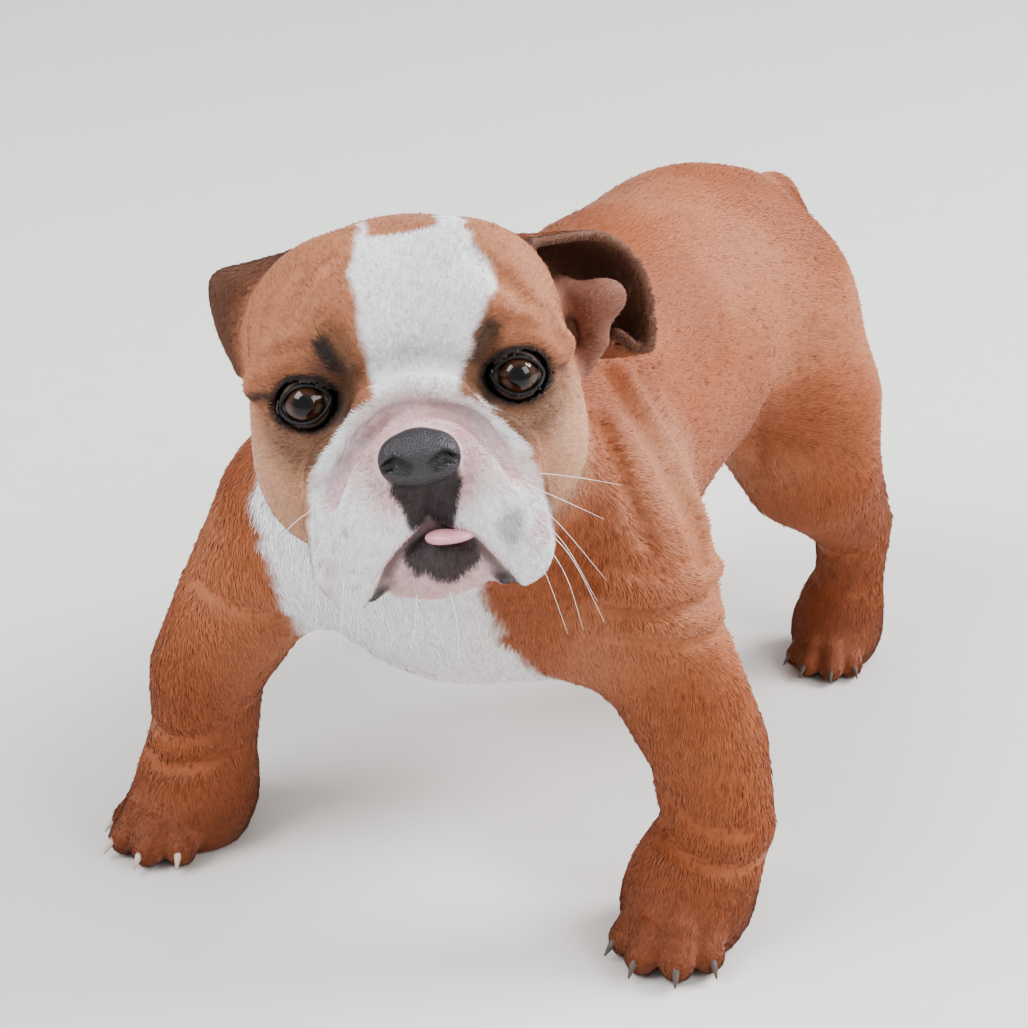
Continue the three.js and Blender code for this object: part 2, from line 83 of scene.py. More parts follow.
def limb(points, radii):
    points, radii = np.array(points, float), np.array(radii, float)

    def field(p):
        best = np.full(len(p), 1e9)
        for a, b, ra, rb in zip(points[:-1], points[1:], radii[:-1], radii[1:]):
            t, far = to_segment(p, a, b)
            best = np.minimum(best, np.sqrt(far) - (ra + (rb - ra) * t))
        return best

    return field


def smooth_min(a, b, k):
    h = np.maximum(k - np.abs(a - b), 0) / k
    return np.minimum(a, b) - h * h * k / 4


def blend(k, *fields):
    def field(p):
        d = fields[0](p)
        for other in fields[1:]:
            d = smooth_min(d, other(p), k)
        return d

    return field


def within(low, high, field, margin=26.0):
    """The field, worked out only for points near its box, and the distance to the box elsewhere."""
    low, high = np.array(low, float), np.array(high, float)

    def gated(p):
        out = np.sqrt((np.maximum(np.maximum(low - p, p - high), 0) ** 2).sum(1))
        near = out < margin
        out[near] = field(p[near])
        return out

    return gated


def both(make):
    return [make(1), make(-1)]


def smooth_route(stops, steps=3):
    """A Catmull-Rom curve through the stops."""
    stops = np.array(stops, float)
    padded = np.vstack([2 * stops[0] - stops[1], stops, 2 * stops[-1] - stops[-2]])
    out = []
    for a, b, c, d in zip(padded[:-3], padded[1:-2], padded[2:-1], padded[3:]):
        for t in np.arange(steps) / steps:
            out.append(0.5 * (2 * b + (c - a) * t + (2 * a - 5 * b + 4 * c - d) * t * t
                              + (3 * b - a - 3 * c + d) * t ** 3))
    return np.array(out + [stops[-1]])


def distance_to_route(p, route):
    best = np.full(len(p), 1e9)
    for a, b in zip(route[:-1], route[1:]):
        best = np.minimum(best, to_segment(p, a, b)[1])
    return np.sqrt(best)


def unit(v):
    return v / np.maximum(np.linalg.norm(v, axis=1), 1e-9)[:, None]


def ramp(x, low, high):
    """0 up to low, 1 from high on, and a smooth climb between."""
    t = np.clip((x - low) / (high - low), 0, 1)
    return t * t * (3 - 2 * t)


def fade(x, low, high):
    """1 up to low, 0 from high on, and a smooth fall between."""
    return ramp(-x, -high, -low)


# Trunk, neck and tail

TRUNK = blend(
    34,
    ball([0, 62, 176], [74, 100, 78]),
    ball([0, -4, 166], [70, 44, 62]),
    ball([2, 160, 192], [68, 86, 65]),
    ball([4, 236, 196], [64, 56, 60]),
    *both(lambda s: ball([64 * s, 14, 166], [33, 42, 50])),
    ball([50, 244, 152], [30, 46, 62]),
    ball([-42, 244, 152], [30, 46, 62]),
)
NECK = limb([[0, 40, 196], [2, -8, 206], [6, -40, 226]], [58, 58, 52])
TAIL = limb([[8, 272, 220], [11, 300, 222], [13, 318, 208], [14, 326, 190]], [22, 15, 12, 9])

# Legs: the route from shoulder or hip to the paw, with its radii, and where the paw stands and points

LEGS = {
    "foreleg_left": dict(
        route=[[74, 12, 158], [88, 18, 122], [108, 20, 84], [116, 16, 52], [110, 8, 24]],
        radii=[34, 29, 25.5, 24, 24], paw=(106, 4), heading=8),
    "foreleg_right": dict(
        route=[[-74, -6, 158], [-92, -20, 120], [-112, -20, 84], [-118, -16, 52], [-120, -20, 24]],
        radii=[34, 29, 25.5, 24.5, 24], paw=(-122, -24), heading=-14),
    "hindleg_left": dict(
        route=[[56, 244, 140], [66, 242, 112], [74, 272, 74], [73, 276, 42], [70, 272, 20]],
        radii=[38, 31, 20, 17, 19], paw=(70, 266), heading=6),
    "hindleg_right": dict(
        route=[[-48, 244, 140], [-60, 240, 112], [-68, 268, 74], [-68, 272, 42], [-68, 264, 20]],
        radii=[38, 31, 20, 17, 19], paw=(-68, 258), heading=-6),
}
TOE_ANGLES = (-38, -13, 13, 38)
PAW_WIDE = 24


def toe_direction(leg, angle):
    a = math.radians(angle + leg["heading"])
    return np.array([math.sin(a), -math.cos(a), 0])


def toe_reach(angle):
    return 24 if abs(angle) < 20 else 19


def toe_field(leg, angle):
    size = leg["radii"][4] / PAW_WIDE
    reach = toe_reach(angle)
    stops = ((6, 22, 11.5), (reach, 17, 10), (reach + 9, 9, 8.2))
    root = np.array([*leg["paw"], 0.0])
    route = [root + toe_direction(leg, angle) * r * size + [0, 0, z * size] for r, z, _ in stops]
    return limb(route, [radius * size for _, _, radius in stops])


def paw_field(leg):
    px, py = leg["paw"]
    size = leg["radii"][4] / PAW_WIDE
    base = ball([px, py + 2, 17 * size], [25 * size, 26 * size, 20 * size])
    wrist_end = limb([[px, py + 6, 28], [px, py, 14]], [22 * size, 22 * size])
    return blend(3.2, blend(14, base, wrist_end), *[toe_field(leg, a) for a in TOE_ANGLES])


def leg_field(leg):
    field = blend(12, limb(leg["route"], leg["radii"]), paw_field(leg))
    stops = np.array(leg["route"], float)
    low, high = stops.min(0) - 44, stops.max(0) + 44
    return within(low, high, field)


# Folds of the body's skin: stops, half-width, depth

BODY_FOLDS = {
    "neck_front": ([[65, 2, 227], [75, -5, 214], [84, -8, 200], [88, -8, 186]], 4.0, 3.4),
    "neck_middle": ([[56, 30, 238], [72, 22, 222], [86, 16, 204], [98, 14, 186], [102, 10, 170]], 4.4, 4.2),
    "neck_back": ([[54, 52, 236], [72, 47, 215], [86, 43, 195], [95, 34, 178]], 4.4, 3.6),
    "neck_ridge": ([[60, 40, 234], [74, 33, 217], [88, 29, 198], [99, 24, 180]], 5.0, -2.4),
    "elbow_upper_left": ([[84, -26, 163], [98, -14, 159], [110, 6, 157], [112, 26, 156]], 3.4, 4.0),
    "elbow_roll_left": ([[84, -29, 171], [98, -16, 167], [109, 6, 165], [112, 28, 163]], 5.5, -4.2),
    "elbow_lower_left": ([[90, -22, 148], [106, -2, 142], [112, 18, 139], [110, 36, 137]], 3.2, 3.2),
    "elbow_low_roll_left": ([[92, -20, 154], [108, -1, 149], [114, 18, 146]], 5.0, -3.2),
    "wrist_left": ([[90, -6, 58], [102, -8, 53], [118, -10, 48], [134, 0, 44], [140, 14, 42]], 3.2, 4.4),
    "wrist_left_upper": ([[98, -4, 70], [114, -7, 64], [132, 2, 60]], 4.0, 2.4),
    "elbow_right": ([[-99, -40, 137], [-84, -46, 133], [-68, -42, 128], [-60, -34, 122]], 3.6, 4.0),
    "wrist_right": ([[-136, -34, 44], [-124, -42, 43], [-108, -40, 46], [-96, -28, 50]], 3.2, 4.4),
    "wrist_right_upper": ([[-136, -32, 58], [-122, -42, 56], [-104, -38, 60]], 4.0, 2.4),
    "flank": ([[58, 186, 126], [66, 178, 146], [70, 172, 168]], 5.0, 2.6),
    "haunch_right": ([[-52, 190, 128], [-62, 182, 150], [-66, 176, 170]], 5.0, 2.4),
    "tail_root": ([[-10, 284, 238], [10, 282, 243], [28, 284, 236]], 4.0, 1.6),
}


PROBE = 0.4  # how far to each side a field's slope is felt, in millimetres
LEAST_SLOPE = 0.45
LONGEST_MOVE = 6


def drawn_onto(field, route, only_depth=False):
    """A route's stops moved onto the surface where a field is 0, freely or only front to back."""
    p = np.array(route, float)
    for _ in range(8):
        d = field(p)
        g = np.stack([(field(p + step) - field(p - step)) / (2 * PROBE) for step in np.eye(3) * PROBE], 1)
        if only_depth:
            steep = g[:, 1]
            steep = np.where(np.abs(steep) < LEAST_SLOPE, np.sign(steep - 1e-9) * LEAST_SLOPE, steep)
            p[:, 1] -= np.clip(d / steep, -LONGEST_MOVE, LONGEST_MOVE)
        else:
            move = np.clip(d, -LONGEST_MOVE, LONGEST_MOVE) / np.maximum((g * g).sum(1), 0.2)
            p -= move[:, None] * g
    return p


def fold_lines(field, folds, only_depth=False):
    """Each fold's route drawn onto the surface, sunk by part of its depth; its half-width and depth."""
    lines = {}
    for name, (stops, width, depth) in folds.items():
        inwards = min(max(depth, 0) * 0.4, 2.2)
        route = drawn_onto(lambda q: field(q) + inwards, smooth_route(stops), only_depth)
        lines[name] = (route, width, depth)
    return lines


def folded(p, lines):
    """How far the folds move the surface at each point."""
    out = np.zeros(len(p))
    for route, width, depth in lines.values():
        low, high = route.min(0) - 3 * width, route.max(0) + 3 * width
        near = ((p > low) & (p < high)).all(1)
        if near.any():
            out[near] += depth * np.exp(-(distance_to_route(p[near], route) / width) ** 2)
    return out


# The head's own frame: x to its left, y back into the skull, z up

HEAD_AT = np.array([17, -58, 249.0])
HEAD_TURN, HEAD_LIFT, HEAD_TILT = 30, 15, 7


def turn_about(axis, degrees):
    c, s = math.cos(math.radians(degrees)), math.sin(math.radians(degrees))
    rows = {"x": [[1, 0, 0], [0, c, -s], [0, s, c]], "y": [[c, 0, s], [0, 1, 0], [-s, 0, c]],
            "z": [[c, -s, 0], [s, c, 0], [0, 0, 1]]}
    return np.array(rows[axis], float)


HEAD_AXES = turn_about("z", HEAD_TURN) @ turn_about("x", -HEAD_LIFT) @ turn_about("y", -HEAD_TILT)


def to_head(p):
    return (p - HEAD_AT) @ HEAD_AXES


def from_head(q):
    return np.asarray(q, float) @ HEAD_AXES.T + HEAD_AT


EYE_SIDE, EYE_HIGH, EYE_BACK, EYE_RADIUS = 38.0, 7.5, -26, 11
EYE_OUTWARD = 8  # degrees that each eye looks outwards
EYE_HALF_WIDE, EYE_HALF_HIGH = 9.2, 6.7
LID_THICK = 2.2

SKULL = blend(
    16,
    ball([0, 12, 18], [60, 56, 51]),
    *both(lambda s: ball([25 * s, -14, 32], [31, 27, 32])),
    *both(lambda s: ball([38 * s, 2, -16], [26, 37, 36])),
    ball([0, -14, -14], [44, 32, 34]),
)
MUZZLE = blend(
    9,
    ball([0, -34, -18], [35, 25, 25]),
    *both(lambda s: ball([22 * s, -43, -38], [21, 20, 26])),
    *both(lambda s: ball([30 * s, -39, -52], [15, 18, 17])),
    ball([0, -50, -14], [17, 13, 19]),
    ball([0, -38, -55], [21, 18, 15]),
)
ROPE_HALF = [[39, -40, -36], [36, -46, -18], [29, -47, -2], [15, -49, 7]]
ROPE = ROPE_HALF + [[0, -50, 10]] + [[-x, y, z] for x, y, z in ROPE_HALF[::-1]]
BROWS = both(lambda s: blend(
    6,
    limb([[20 * s, -37, 38], [31 * s, -36, 32], [44 * s, -31, 27], [56 * s, -20, 15]], [4, 6, 6.5, 5]),
    ball([13 * s, -36, 22], [11, 9, 17])))
ORBITS = both(lambda s: ball([(EYE_SIDE - 0.5) * s, -45, EYE_HIGH], [15, 11, 10]))
FACE = blend(7, blend(10, SKULL, MUZZLE, *BROWS), limb(ROPE, [6, 7, 7.5, 7, 6.5, 7, 7.5, 7, 6]))

HEAD_FOLDS = {
    "rope_crease": ([[33, -55, -26], [27, -58, -13], [16, -59, -1], [0, -59, 3], [-9, -59, 2],
                     [-18, -59, -5], [-26, -58, -13], [-33, -55, -26]], 3.0, 5.0),
    "rope_top": ([[35, -38, 4], [22, -42, 12], [8, -43, 17], [-8, -43, 17], [-22, -42, 12],
                  [-35, -37, 3]], 4.2, 4.2),
    "rope_side_left": ([[38, -47, -22], [39, -49, -34], [39, -50, -46]], 2.5, 1.2),
    "rope_side_right": ([[-36, -50, -18], [-41, -49, -30], [-43, -48, -46]], 2.5, 1.2),
    "furrow_right": ([[-27, -41, 36], [-24, -43, 26], [-23, -42, 16], [-26, -40, 5]], 2.8, 3.6),
    "furrow_left": ([[33, -43, 28], [28, -41, 20], [27, -40, 12], [28, -39, 4]], 2.8, 3.6),
    "forehead_right": ([[-21, -31, 56], [-32, -36, 48], [-39, -38, 37]], 2.8, 3.2),
    "forehead_right_outer": ([[-34, -26, 54], [-44, -28, 44], [-50, -30, 32]], 3.0, 3.0),
    "forehead_left": ([[38, -34, 42], [46, -34, 33], [54, -28, 24]], 3.0, 3.0),
    "forehead_left_inner": ([[27, -32, 52], [36, -34, 44], [43, -34, 34]], 2.6, 2.4),
    "brow_crease_right": ([[-52, -30, 24], [-42, -36, 27], [-34, -40, 27]], 2.4, 2.6),
    "brow_crease_left": ([[58, -24, 14], [52, -30, 21], [42, -36, 26], [36, -38, 26]], 2.4, 2.6),
    "under_eye_right": ([[-52, -28, 0], [-44, -33, -4], [-34, -37, -3], [-27, -40, 1]], 2.4, 2.6),
    "under_eye_left": ([[54, -26, -2], [46, -32, -5], [36, -36, -4], [29, -39, 0]], 2.4, 2.6),
    "mouth_right": ([[0, -60, -40], [-5, -60, -43], [-10, -61, -46], [-16, -61, -52], [-20, -59, -60],
                     [-26, -54, -68], [-29, -45, -74]], 2.1, 5.5),
    "mouth_left": ([[0, -60, -40], [8, -60, -43], [14, -61, -46], [18, -61, -51], [23, -58, -59],
                    [27, -52, -68], [29, -44, -74]], 2.1, 5.5),
    "chin_side_right": ([[-17, -56, -60], [-20, -50, -68], [-20, -42, -74]], 2.6, 3.0),
    "chin_side_left": ([[17, -56, -60], [20, -50, -68], [20, -42, -74]], 2.6, 3.0),
    "philtrum": ([[1.5, -68, -20], [0.5, -64, -29], [0, -59, -39]], 1.1, 2.4),
}


def smooth_face(q):
    """The face with its eye hollows, before folds, lids and ears."""
    return -smooth_min(-FACE(q), np.minimum(ORBITS[0](q), ORBITS[1](q)), 9)


HEAD_FOLD_LINES = fold_lines(smooth_face, HEAD_FOLDS, only_depth=True)
LID_STOPS = 32


def eye_centre(s):
    return np.array([EYE_SIDE * s, EYE_BACK, EYE_HIGH])


def lid_route(s, grow=1.06, count=LID_STOPS):
    """The ring of an eye's opening on its ball, in the head's frame."""
    a = np.arange(count + 1) / count * 2 * math.pi
    x = np.cos(a) * EYE_HALF_WIDE
    z = np.sin(a) * np.abs(np.sin(a)) ** 0.3 * EYE_HALF_HIGH - 0.07 * np.cos(a) * EYE_HALF_WIDE * s
    y = -np.sqrt(np.maximum(EYE_RADIUS ** 2 - x * x - z * z, 0))
    return np.stack([x, y, z], 1) * grow @ turn_about("z", EYE_OUTWARD * s).T + eye_centre(s)


LIDS = both(lambda s: limb(lid_route(s), [LID_THICK] * (LID_STOPS + 1)))
SOCKETS = both(lambda s: ball(eye_centre(s), [EYE_RADIUS + 0.15] * 3))

# Nose pad, with wings, nostrils and the cleft

NOSE_PAD = blend(
    4,
    ball([0, -61, -13], [12.5, 8.5, 10.5]),
    *both(lambda s: ball([8.5 * s, -62, -13.5], [6, 7, 7.5])),
)
NOSTRILS = both(lambda s: limb(
    [[5.4 * s, -71, -15.5], [9 * s, -69, -13], [14 * s, -64, -15.5]], [3.1, 2.2, 1.0]))
NOSE_CLEFT = limb([[0, -71, -6], [0, -71, -16], [0.5, -67, -24]], [0.7, 0.8, 0.8])


def nose_field(q):
    d = NOSE_PAD(q)
    for nostril in NOSTRILS:
        d = -smooth_min(-d, nostril(q), 1.6)
    return -smooth_min(-d, NOSE_CLEFT(q), 1.2)


# Ears: each a soft sheet through three rows of stops, from its root on the skull to its rim

EARS = [
    [
        [[60, 16, 8], [57, 26, 10], [53, 32, 26], [47, 26, 42], [43, 10, 50]],
        [[68, 22, 9], [76, 27, 5], [77, 33, 28], [65, 26, 47], [48, 8, 53]],
        [[79, 15, 13], [91, 13, 6], [92, 16, 32], [78, 8, 50], [52, -2, 52]],
    ],
    [
        [[-34, 6, 53], [-44, 3, 47], [-50, 1, 38], [-55, 0, 26], [-58, -1, 18]],
        [[-38, 11, 58], [-53, 7, 56], [-67, 4, 53], [-68, 5, 36], [-63, 3, 19]],
        [[-40, 22, 54], [-52, 25, 51], [-60, 25, 45], [-62, 22, 30], [-60, 14, 17]],
    ],
]
EAR_KNOB = blend(
    8,
    ball([76, 9, 27], [9, 7, 8]),
    limb([[60, 12, 30], [70, 9, 24], [70, 8, 12], [64, 6, 3]], [8, 7.5, 6.5, 5]),
)
EAR_RIDGE = limb([[-50, 2, 50], [-52, -1, 44], [-57, -1, 33], [-61, 0, 22]], [3, 3.8, 3.8, 3])


EAR_ALONG, EAR_OUT = 64, 34  # points along an ear's root, and from root to rim
EAR_HALF_THICK, EAR_THINNING = 3.6, 1.0


def ear_sheet(rows):
    """Points of an ear's middle sheet, their half thickness, and how far out each one lies."""
    curves = []
    for row in rows:
        fine = smooth_route(row, 24)
        at = np.linspace(0, len(fine) - 1, EAR_ALONG)
        low = np.clip(at.astype(int), 0, len(fine) - 2)
        t = (at - low)[:, None]
        curves.append(fine[low] * (1 - t) + fine[low + 1] * t)
    root, middle, rim = curves
    out = np.linspace(0, 1, EAR_OUT)
    points = [root * (1 - v) * (1 - 2 * v) + middle * 4 * v * (1 - v) + rim * v * (2 * v - 1) for v in out]
    place = np.repeat(out, EAR_ALONG)
    return np.concatenate(points), EAR_HALF_THICK - EAR_THINNING * place, place


class Ear:
    """An ear's sheet, with its nearest points found through a tree."""

    def __init__(self, rows):
        self.points, self.thick, self.place = ear_sheet(rows)
        grid = self.points.reshape(EAR_OUT, EAR_ALONG, 3)
        facing = unit(np.cross(np.gradient(grid, axis=1), np.gradient(grid, axis=0)).reshape(-1, 3))
        self.facing = facing * (-1 if facing[:, 1].mean() > 0 else 1)
        self.tree = KDTree(len(self.points))
        for i, place in enumerate(self.points):
            self.tree.insert(place, i)
        self.tree.balance()
        self.low, self.high = self.points.min(0), self.points.max(0)

    def near(self, q, reach):
        return ((q > self.low - reach) & (q < self.high + reach)).all(1)

    def nearest(self, q, reach):
        """Which points are near the ear's box, and for those the sheet's nearest point and its distance."""
        near = self.near(q, reach)
        found = [self.tree.find(place)[1:] for place in q[near]]
        index = np.array([i for i, far in found], int)
        return near, index, np.array([far for i, far in found])

    def field(self, q):
        out = np.full(len(q), 30.0)
        near, index, far = self.nearest(q, 9.0)
        out[near] = far - self.thick[index]
        return out


EAR_SHAPES = [Ear(rows) for rows in EARS]


def head_field(q):
    d = smooth_face(q)
    near = (np.abs(d) < 12) & (q[:, 1] < 10)
    if near.any():
        d[near] += folded(q[near], HEAD_FOLD_LINES)
        for lid, socket in zip(LIDS, SOCKETS):
            d[near] = smooth_min(d[near], lid(q[near]), 3)
            d[near] = np.maximum(d[near], -socket(q[near]))
    for ear in EAR_SHAPES:
        d = smooth_min(d, ear.field(q), 5)
    return smooth_min(smooth_min(d, EAR_KNOB(q), 4), EAR_RIDGE(q), 4)


TORSO = blend(26, TRUNK, NECK)
TAIL_NEAR = within([-14, 255, 180], [36, 340, 245], TAIL)
LEG_FIELDS = [leg_field(leg) for leg in LEGS.values()]


def smooth_body(p):
    d = TORSO(p)
    for part in [TAIL_NEAR, *LEG_FIELDS]:
        d = smooth_min(d, part(p), 18)
    return d


BODY_FOLD_LINES = fold_lines(smooth_body, BODY_FOLDS)


def body_field(p):
    d = smooth_body(p)
    near = np.abs(d) < 14
    d[near] += folded(p[near], BODY_FOLD_LINES)
    return d


HEAD_NEAR = within(HEAD_AT - 100, HEAD_AT + 108, lambda p: head_field(to_head(p)), 20)


def flesh(p):
    return np.maximum(smooth_min(body_field(p), HEAD_NEAR(p), 16), -p[:, 2])


# Meshing: one vertex in each cell that the surface crosses, drawn onto it, and four-sided faces

CORNERS = [(0, 0, 0), (1, 0, 0), (0, 1, 0), (1, 1, 0), (0, 0, 1), (1, 0, 1), (0, 1, 1), (1, 1, 1)]
EDGES = [(0, 1), (2, 3), (4, 5), (6, 7), (0, 2), (1, 3), (4, 6), (5, 7), (0, 4), (1, 5), (2, 6), (3, 7)]


def grid_lines(low, *stretches):
    out = [float(low)]
    for end, spacing in stretches:
        start = out[-1]
        count = max(1, round((end - start) / spacing))
        out += [start + (end - start) * i / count for i in range(1, count + 1)]
    return np.array(out)


def sampled(field, lines, coarse=4, band=8.0):
    """The field over a grid, exact near its surface and read off a coarser grid elsewhere."""
    picks = [np.unique(np.r_[np.arange(0, len(a), coarse), len(a) - 1]) for a in lines]
    axes = np.meshgrid(*[a[k] for a, k in zip(lines, picks)], indexing="ij")
    values = field(np.stack([a.ravel() for a in axes], 1)).reshape(axes[0].shape)
    for axis, (full, known) in enumerate(zip(lines, picks)):
        low = np.clip(np.searchsorted(known, np.arange(len(full)), side="right") - 1, 0, len(known) - 2)
        t = (full - full[known[low]]) / (full[known[low + 1]] - full[known[low]])
        t = t.reshape([-1 if a == axis else 1 for a in range(3)])
        values = np.take(values, low, axis) * (1 - t) + np.take(values, low + 1, axis) * t
    at = np.nonzero(np.abs(values) < band)
    points = np.stack([a[k] for a, k in zip(lines, at)], 1)
    exact = [field(points[i:i + 100000]) for i in range(0, len(points), 100000)]
    values[at] = np.concatenate(exact)
    return values


def meshed(field, lines, **options):
    values = sampled(field, lines, **options)
    inside = values < 0
    shape = [n - 1 for n in inside.shape]
    count = sum(inside[a:a + shape[0], b:b + shape[1], c:c + shape[2]].astype(np.int8) for a, b, c in CORNERS)
    at = np.nonzero((count > 0) & (count < 8))
    ids = np.full(shape, -1, np.int64)
    ids[at] = np.arange(len(at[0]))
    corner = [values[at[0] + a, at[1] + b, at[2] + c] for a, b, c in CORNERS]
    total, crossings = np.zeros((len(at[0]), 3)), np.zeros(len(at[0]))
    for a, b in EDGES:
        crosses = (corner[a] < 0) != (corner[b] < 0)
        t = np.where(crosses, corner[a] / np.where(crosses, corner[a] - corner[b], 1), 0)
        place = np.array(CORNERS[a]) + (np.array(CORNERS[b]) - np.array(CORNERS[a])) * t[:, None]
        total += np.where(crosses[:, None], place, 0)
        crossings += crosses
    total /= crossings[:, None]
    points = np.stack([a[k] + total[:, m] * (a[k + 1] - a[k]) for m, (a, k) in enumerate(zip(lines, at))], 1)
    faces = []
    for axis in range(3):
        first = inside[tuple(slice(0, -1) if a == axis else slice(None) for a in range(3))]
        second = inside[tuple(slice(1, None) if a == axis else slice(None) for a in range(3))]
        index = list(np.nonzero(first != second))
        one, two = [(1, 2), (2, 0), (0, 1)][axis]
        keep = (index[one] > 0) & (index[two] > 0) & (index[one] < shape[one]) & (index[two] < shape[two])
        index = [i[keep] for i in index]
        here = first[tuple(index)]

        def cell(d1, d2):
            moved = [i.copy() for i in index]
            moved[one] -= d1
            moved[two] -= d2
            return ids[tuple(moved)]

        quads = np.stack([cell(1, 1), cell(0, 1), cell(0, 0), cell(1, 0)], 1)
        quads[~here] = quads[~here][:, [0, 3, 2, 1]]
        faces.append(quads)
    return points, np.concatenate(faces)


def slope(field, p, step=0.25):
    """The field at the points, and its gradient."""
    d = field(p)
    g = np.empty_like(p)
    for m in range(3):
        q = p.copy()
        q[:, m] += step
        g[:, m] = (field(q) - d) / step
    return d, g


def settled(field, p, turns=2, most=1.0):
    for _ in range(turns):
        d, g = slope(field, p)
        size = np.maximum(np.linalg.norm(g, axis=1), 0.3)
        p = p - g / size[:, None] * np.clip(d / size, -most, most)[:, None]
    return p


def relaxed(p, faces, share=0.4):
    """Each point drawn towards the middle of its neighbours along the faces' edges."""
    a = np.concatenate([faces[:, [0, 1, 2, 3]].ravel(), faces[:, [1, 2, 3, 0]].ravel()])
    b = np.concatenate([faces[:, [1, 2, 3, 0]].ravel(), faces[:, [0, 1, 2, 3]].ravel()])
    count = np.bincount(a, minlength=len(p))[:, None]
    near = np.stack([np.bincount(a, p[b, m], len(p)) for m in range(3)], 1)
    return p + (near / np.maximum(count, 1) - p) * share


# Colours: named tones, soft masks and ragged edges, shared by skin and tufts


def tone(r, g, b):
    """A colour as the eye names it, made linear."""
    c = np.array([r, g, b], float) / 255
    return tuple(np.where(c <= 0.04045, c / 12.92, ((c + 0.055) / 1.055) ** 2.4))


def noise(p, scale, seed=0.0):
    """Smooth value noise in 0..1."""
    q = p / scale + seed * 17.3
    low = np.floor(q)
    f = q - low
    f = f * f * (3 - 2 * f)
    out = np.zeros(len(p))
    for corner in CORNERS:
        value = np.sin((low + corner) @ [127.1, 311.7, 74.7] + seed) * 43758.5453
        out += (value - np.floor(value)) * np.where(corner, f, 1 - f).prod(1)
    return out


def mixed(colour, other, share):
    share = share[:, None]
    return np.asarray(colour) * (1 - share) + np.asarray(other) * share


def oval(x, z, at, reach):
    """How far a point of the face lies from an oval's centre, 1 on its edge."""
    return np.sqrt(((x - at[0]) / reach[0]) ** 2 + ((z - at[1]) / reach[1]) ** 2)


def line_mask(q, stops, width, soft=0.5):
    """1 on a route and 0 further off than its width."""
    return fade(distance_to_route(q, smooth_route(stops)), width * soft, width)


def lip_distance(q):
    sides = [distance_to_route(q, HEAD_FOLD_LINES[name][0]) for name in ("mouth_left", "mouth_right")]
    return np.minimum(*sides)


BLAZE_HEIGHTS = [2, 10, 19, 28, 40, 51, 58, 66]
BLAZE_RIGHT_EDGE = [-15, -13, -14, -14.5, -15, -16.5, -14, -12]
BLAZE_LEFT_EDGE = [16, 18, 21, 27, 35, 33, 29, 26]
BIB_HEIGHTS = [100, 114, 142, 164, 179, 230]
BIB_RIGHT_EDGE = [-52, -61, -61, -67, -74, -72]
BIB_LEFT_EDGE = [60, 60, 46, 42, 42, 40]
MUZZLE_DEPTHS = [12, 34, 60, 90]
MUZZLE_HALF_WIDTHS = [38, 43, 46, 42]
FURROWS = [
    drawn_onto(smooth_face, smooth_route(stops), only_depth=True)
    for stops in (
        [[-29, -43, 28], [-26, -44, 21], [-24, -44, 13], [-27, -41, 3]],
        [[32, -43, 26], [28, -43, 19], [27, -42, 10], [29, -40, 3]],
    )
]
EYE_STREAKS = [
    [[47, -32, 9], [54, -26, 7], [60, -18, 3]],
    [[-46, -33, 11], [-52, -28, 11], [-58, -22, 11]],
]
CHEEK_LINE = [[44, -46, -30], [45, -44, -46], [42, -40, -62]]


def inside_edges(x, height, heights, right, left):
    """How far a point lies inside a right and a left edge that change with the height."""
    return np.minimum(x - np.interp(height, heights, right), np.interp(height, heights, left) - x)


def red_coat(p, q, on_head, face, slow, tones):
    """The red of trunk and legs, deepened down the lower legs and darkened on the paws as painted shade, the
    tan of the head with a painted highlight on the left shoulder, and the dusky rings round the eyes.
    """
    x, y, z = q.T
    height = p[:, 2]
    shoulder = np.linalg.norm((p - [78, 30, 190]) / [34, 44, 36], axis=1)
    colour = mixed(tones["red"], tones["red_deep"], 0.45 * ramp(slow, 0.35, 0.8))
    colour = mixed(colour, tones["tan"], 0.35 * fade(slow, 0.2, 0.6) * ramp(height, 60, 150))
    # Painted highlight: a paler patch on the left shoulder.
    colour = mixed(colour, tones["tan"], 0.6 * fade(shoulder, 0.5, 1.3))
    # Painted shade: a deeper red down the lower legs.
    colour = mixed(colour, tones["red_deep"], 0.55 * fade(height, 60, 130))
    # Painted shade: the paws darkened towards the floor.
    colour = colour * (1 - 0.22 * fade(height, 16, 50))[:, None]
    colour = mixed(colour, tones["tan"], 0.62 * on_head)
    cheek = on_head * fade(z, -14, 12) * ramp(np.abs(x), 34, 52)
    colour = mixed(colour, tones["cream"], 0.4 * cheek)
    for s in (1, -1):
        around = oval(x, z, (s * EYE_SIDE, EYE_HIGH - 9), (19, 17))
        colour = mixed(colour, tones["brown"], 0.85 * face * fade(around, 0.55, 1.25))
        beside = oval(x, z, (s * 25, 18), (10, 19))
        colour = mixed(colour, tones["brown"], 0.75 * face * fade(beside, 0.6, 1.3))
    return colour


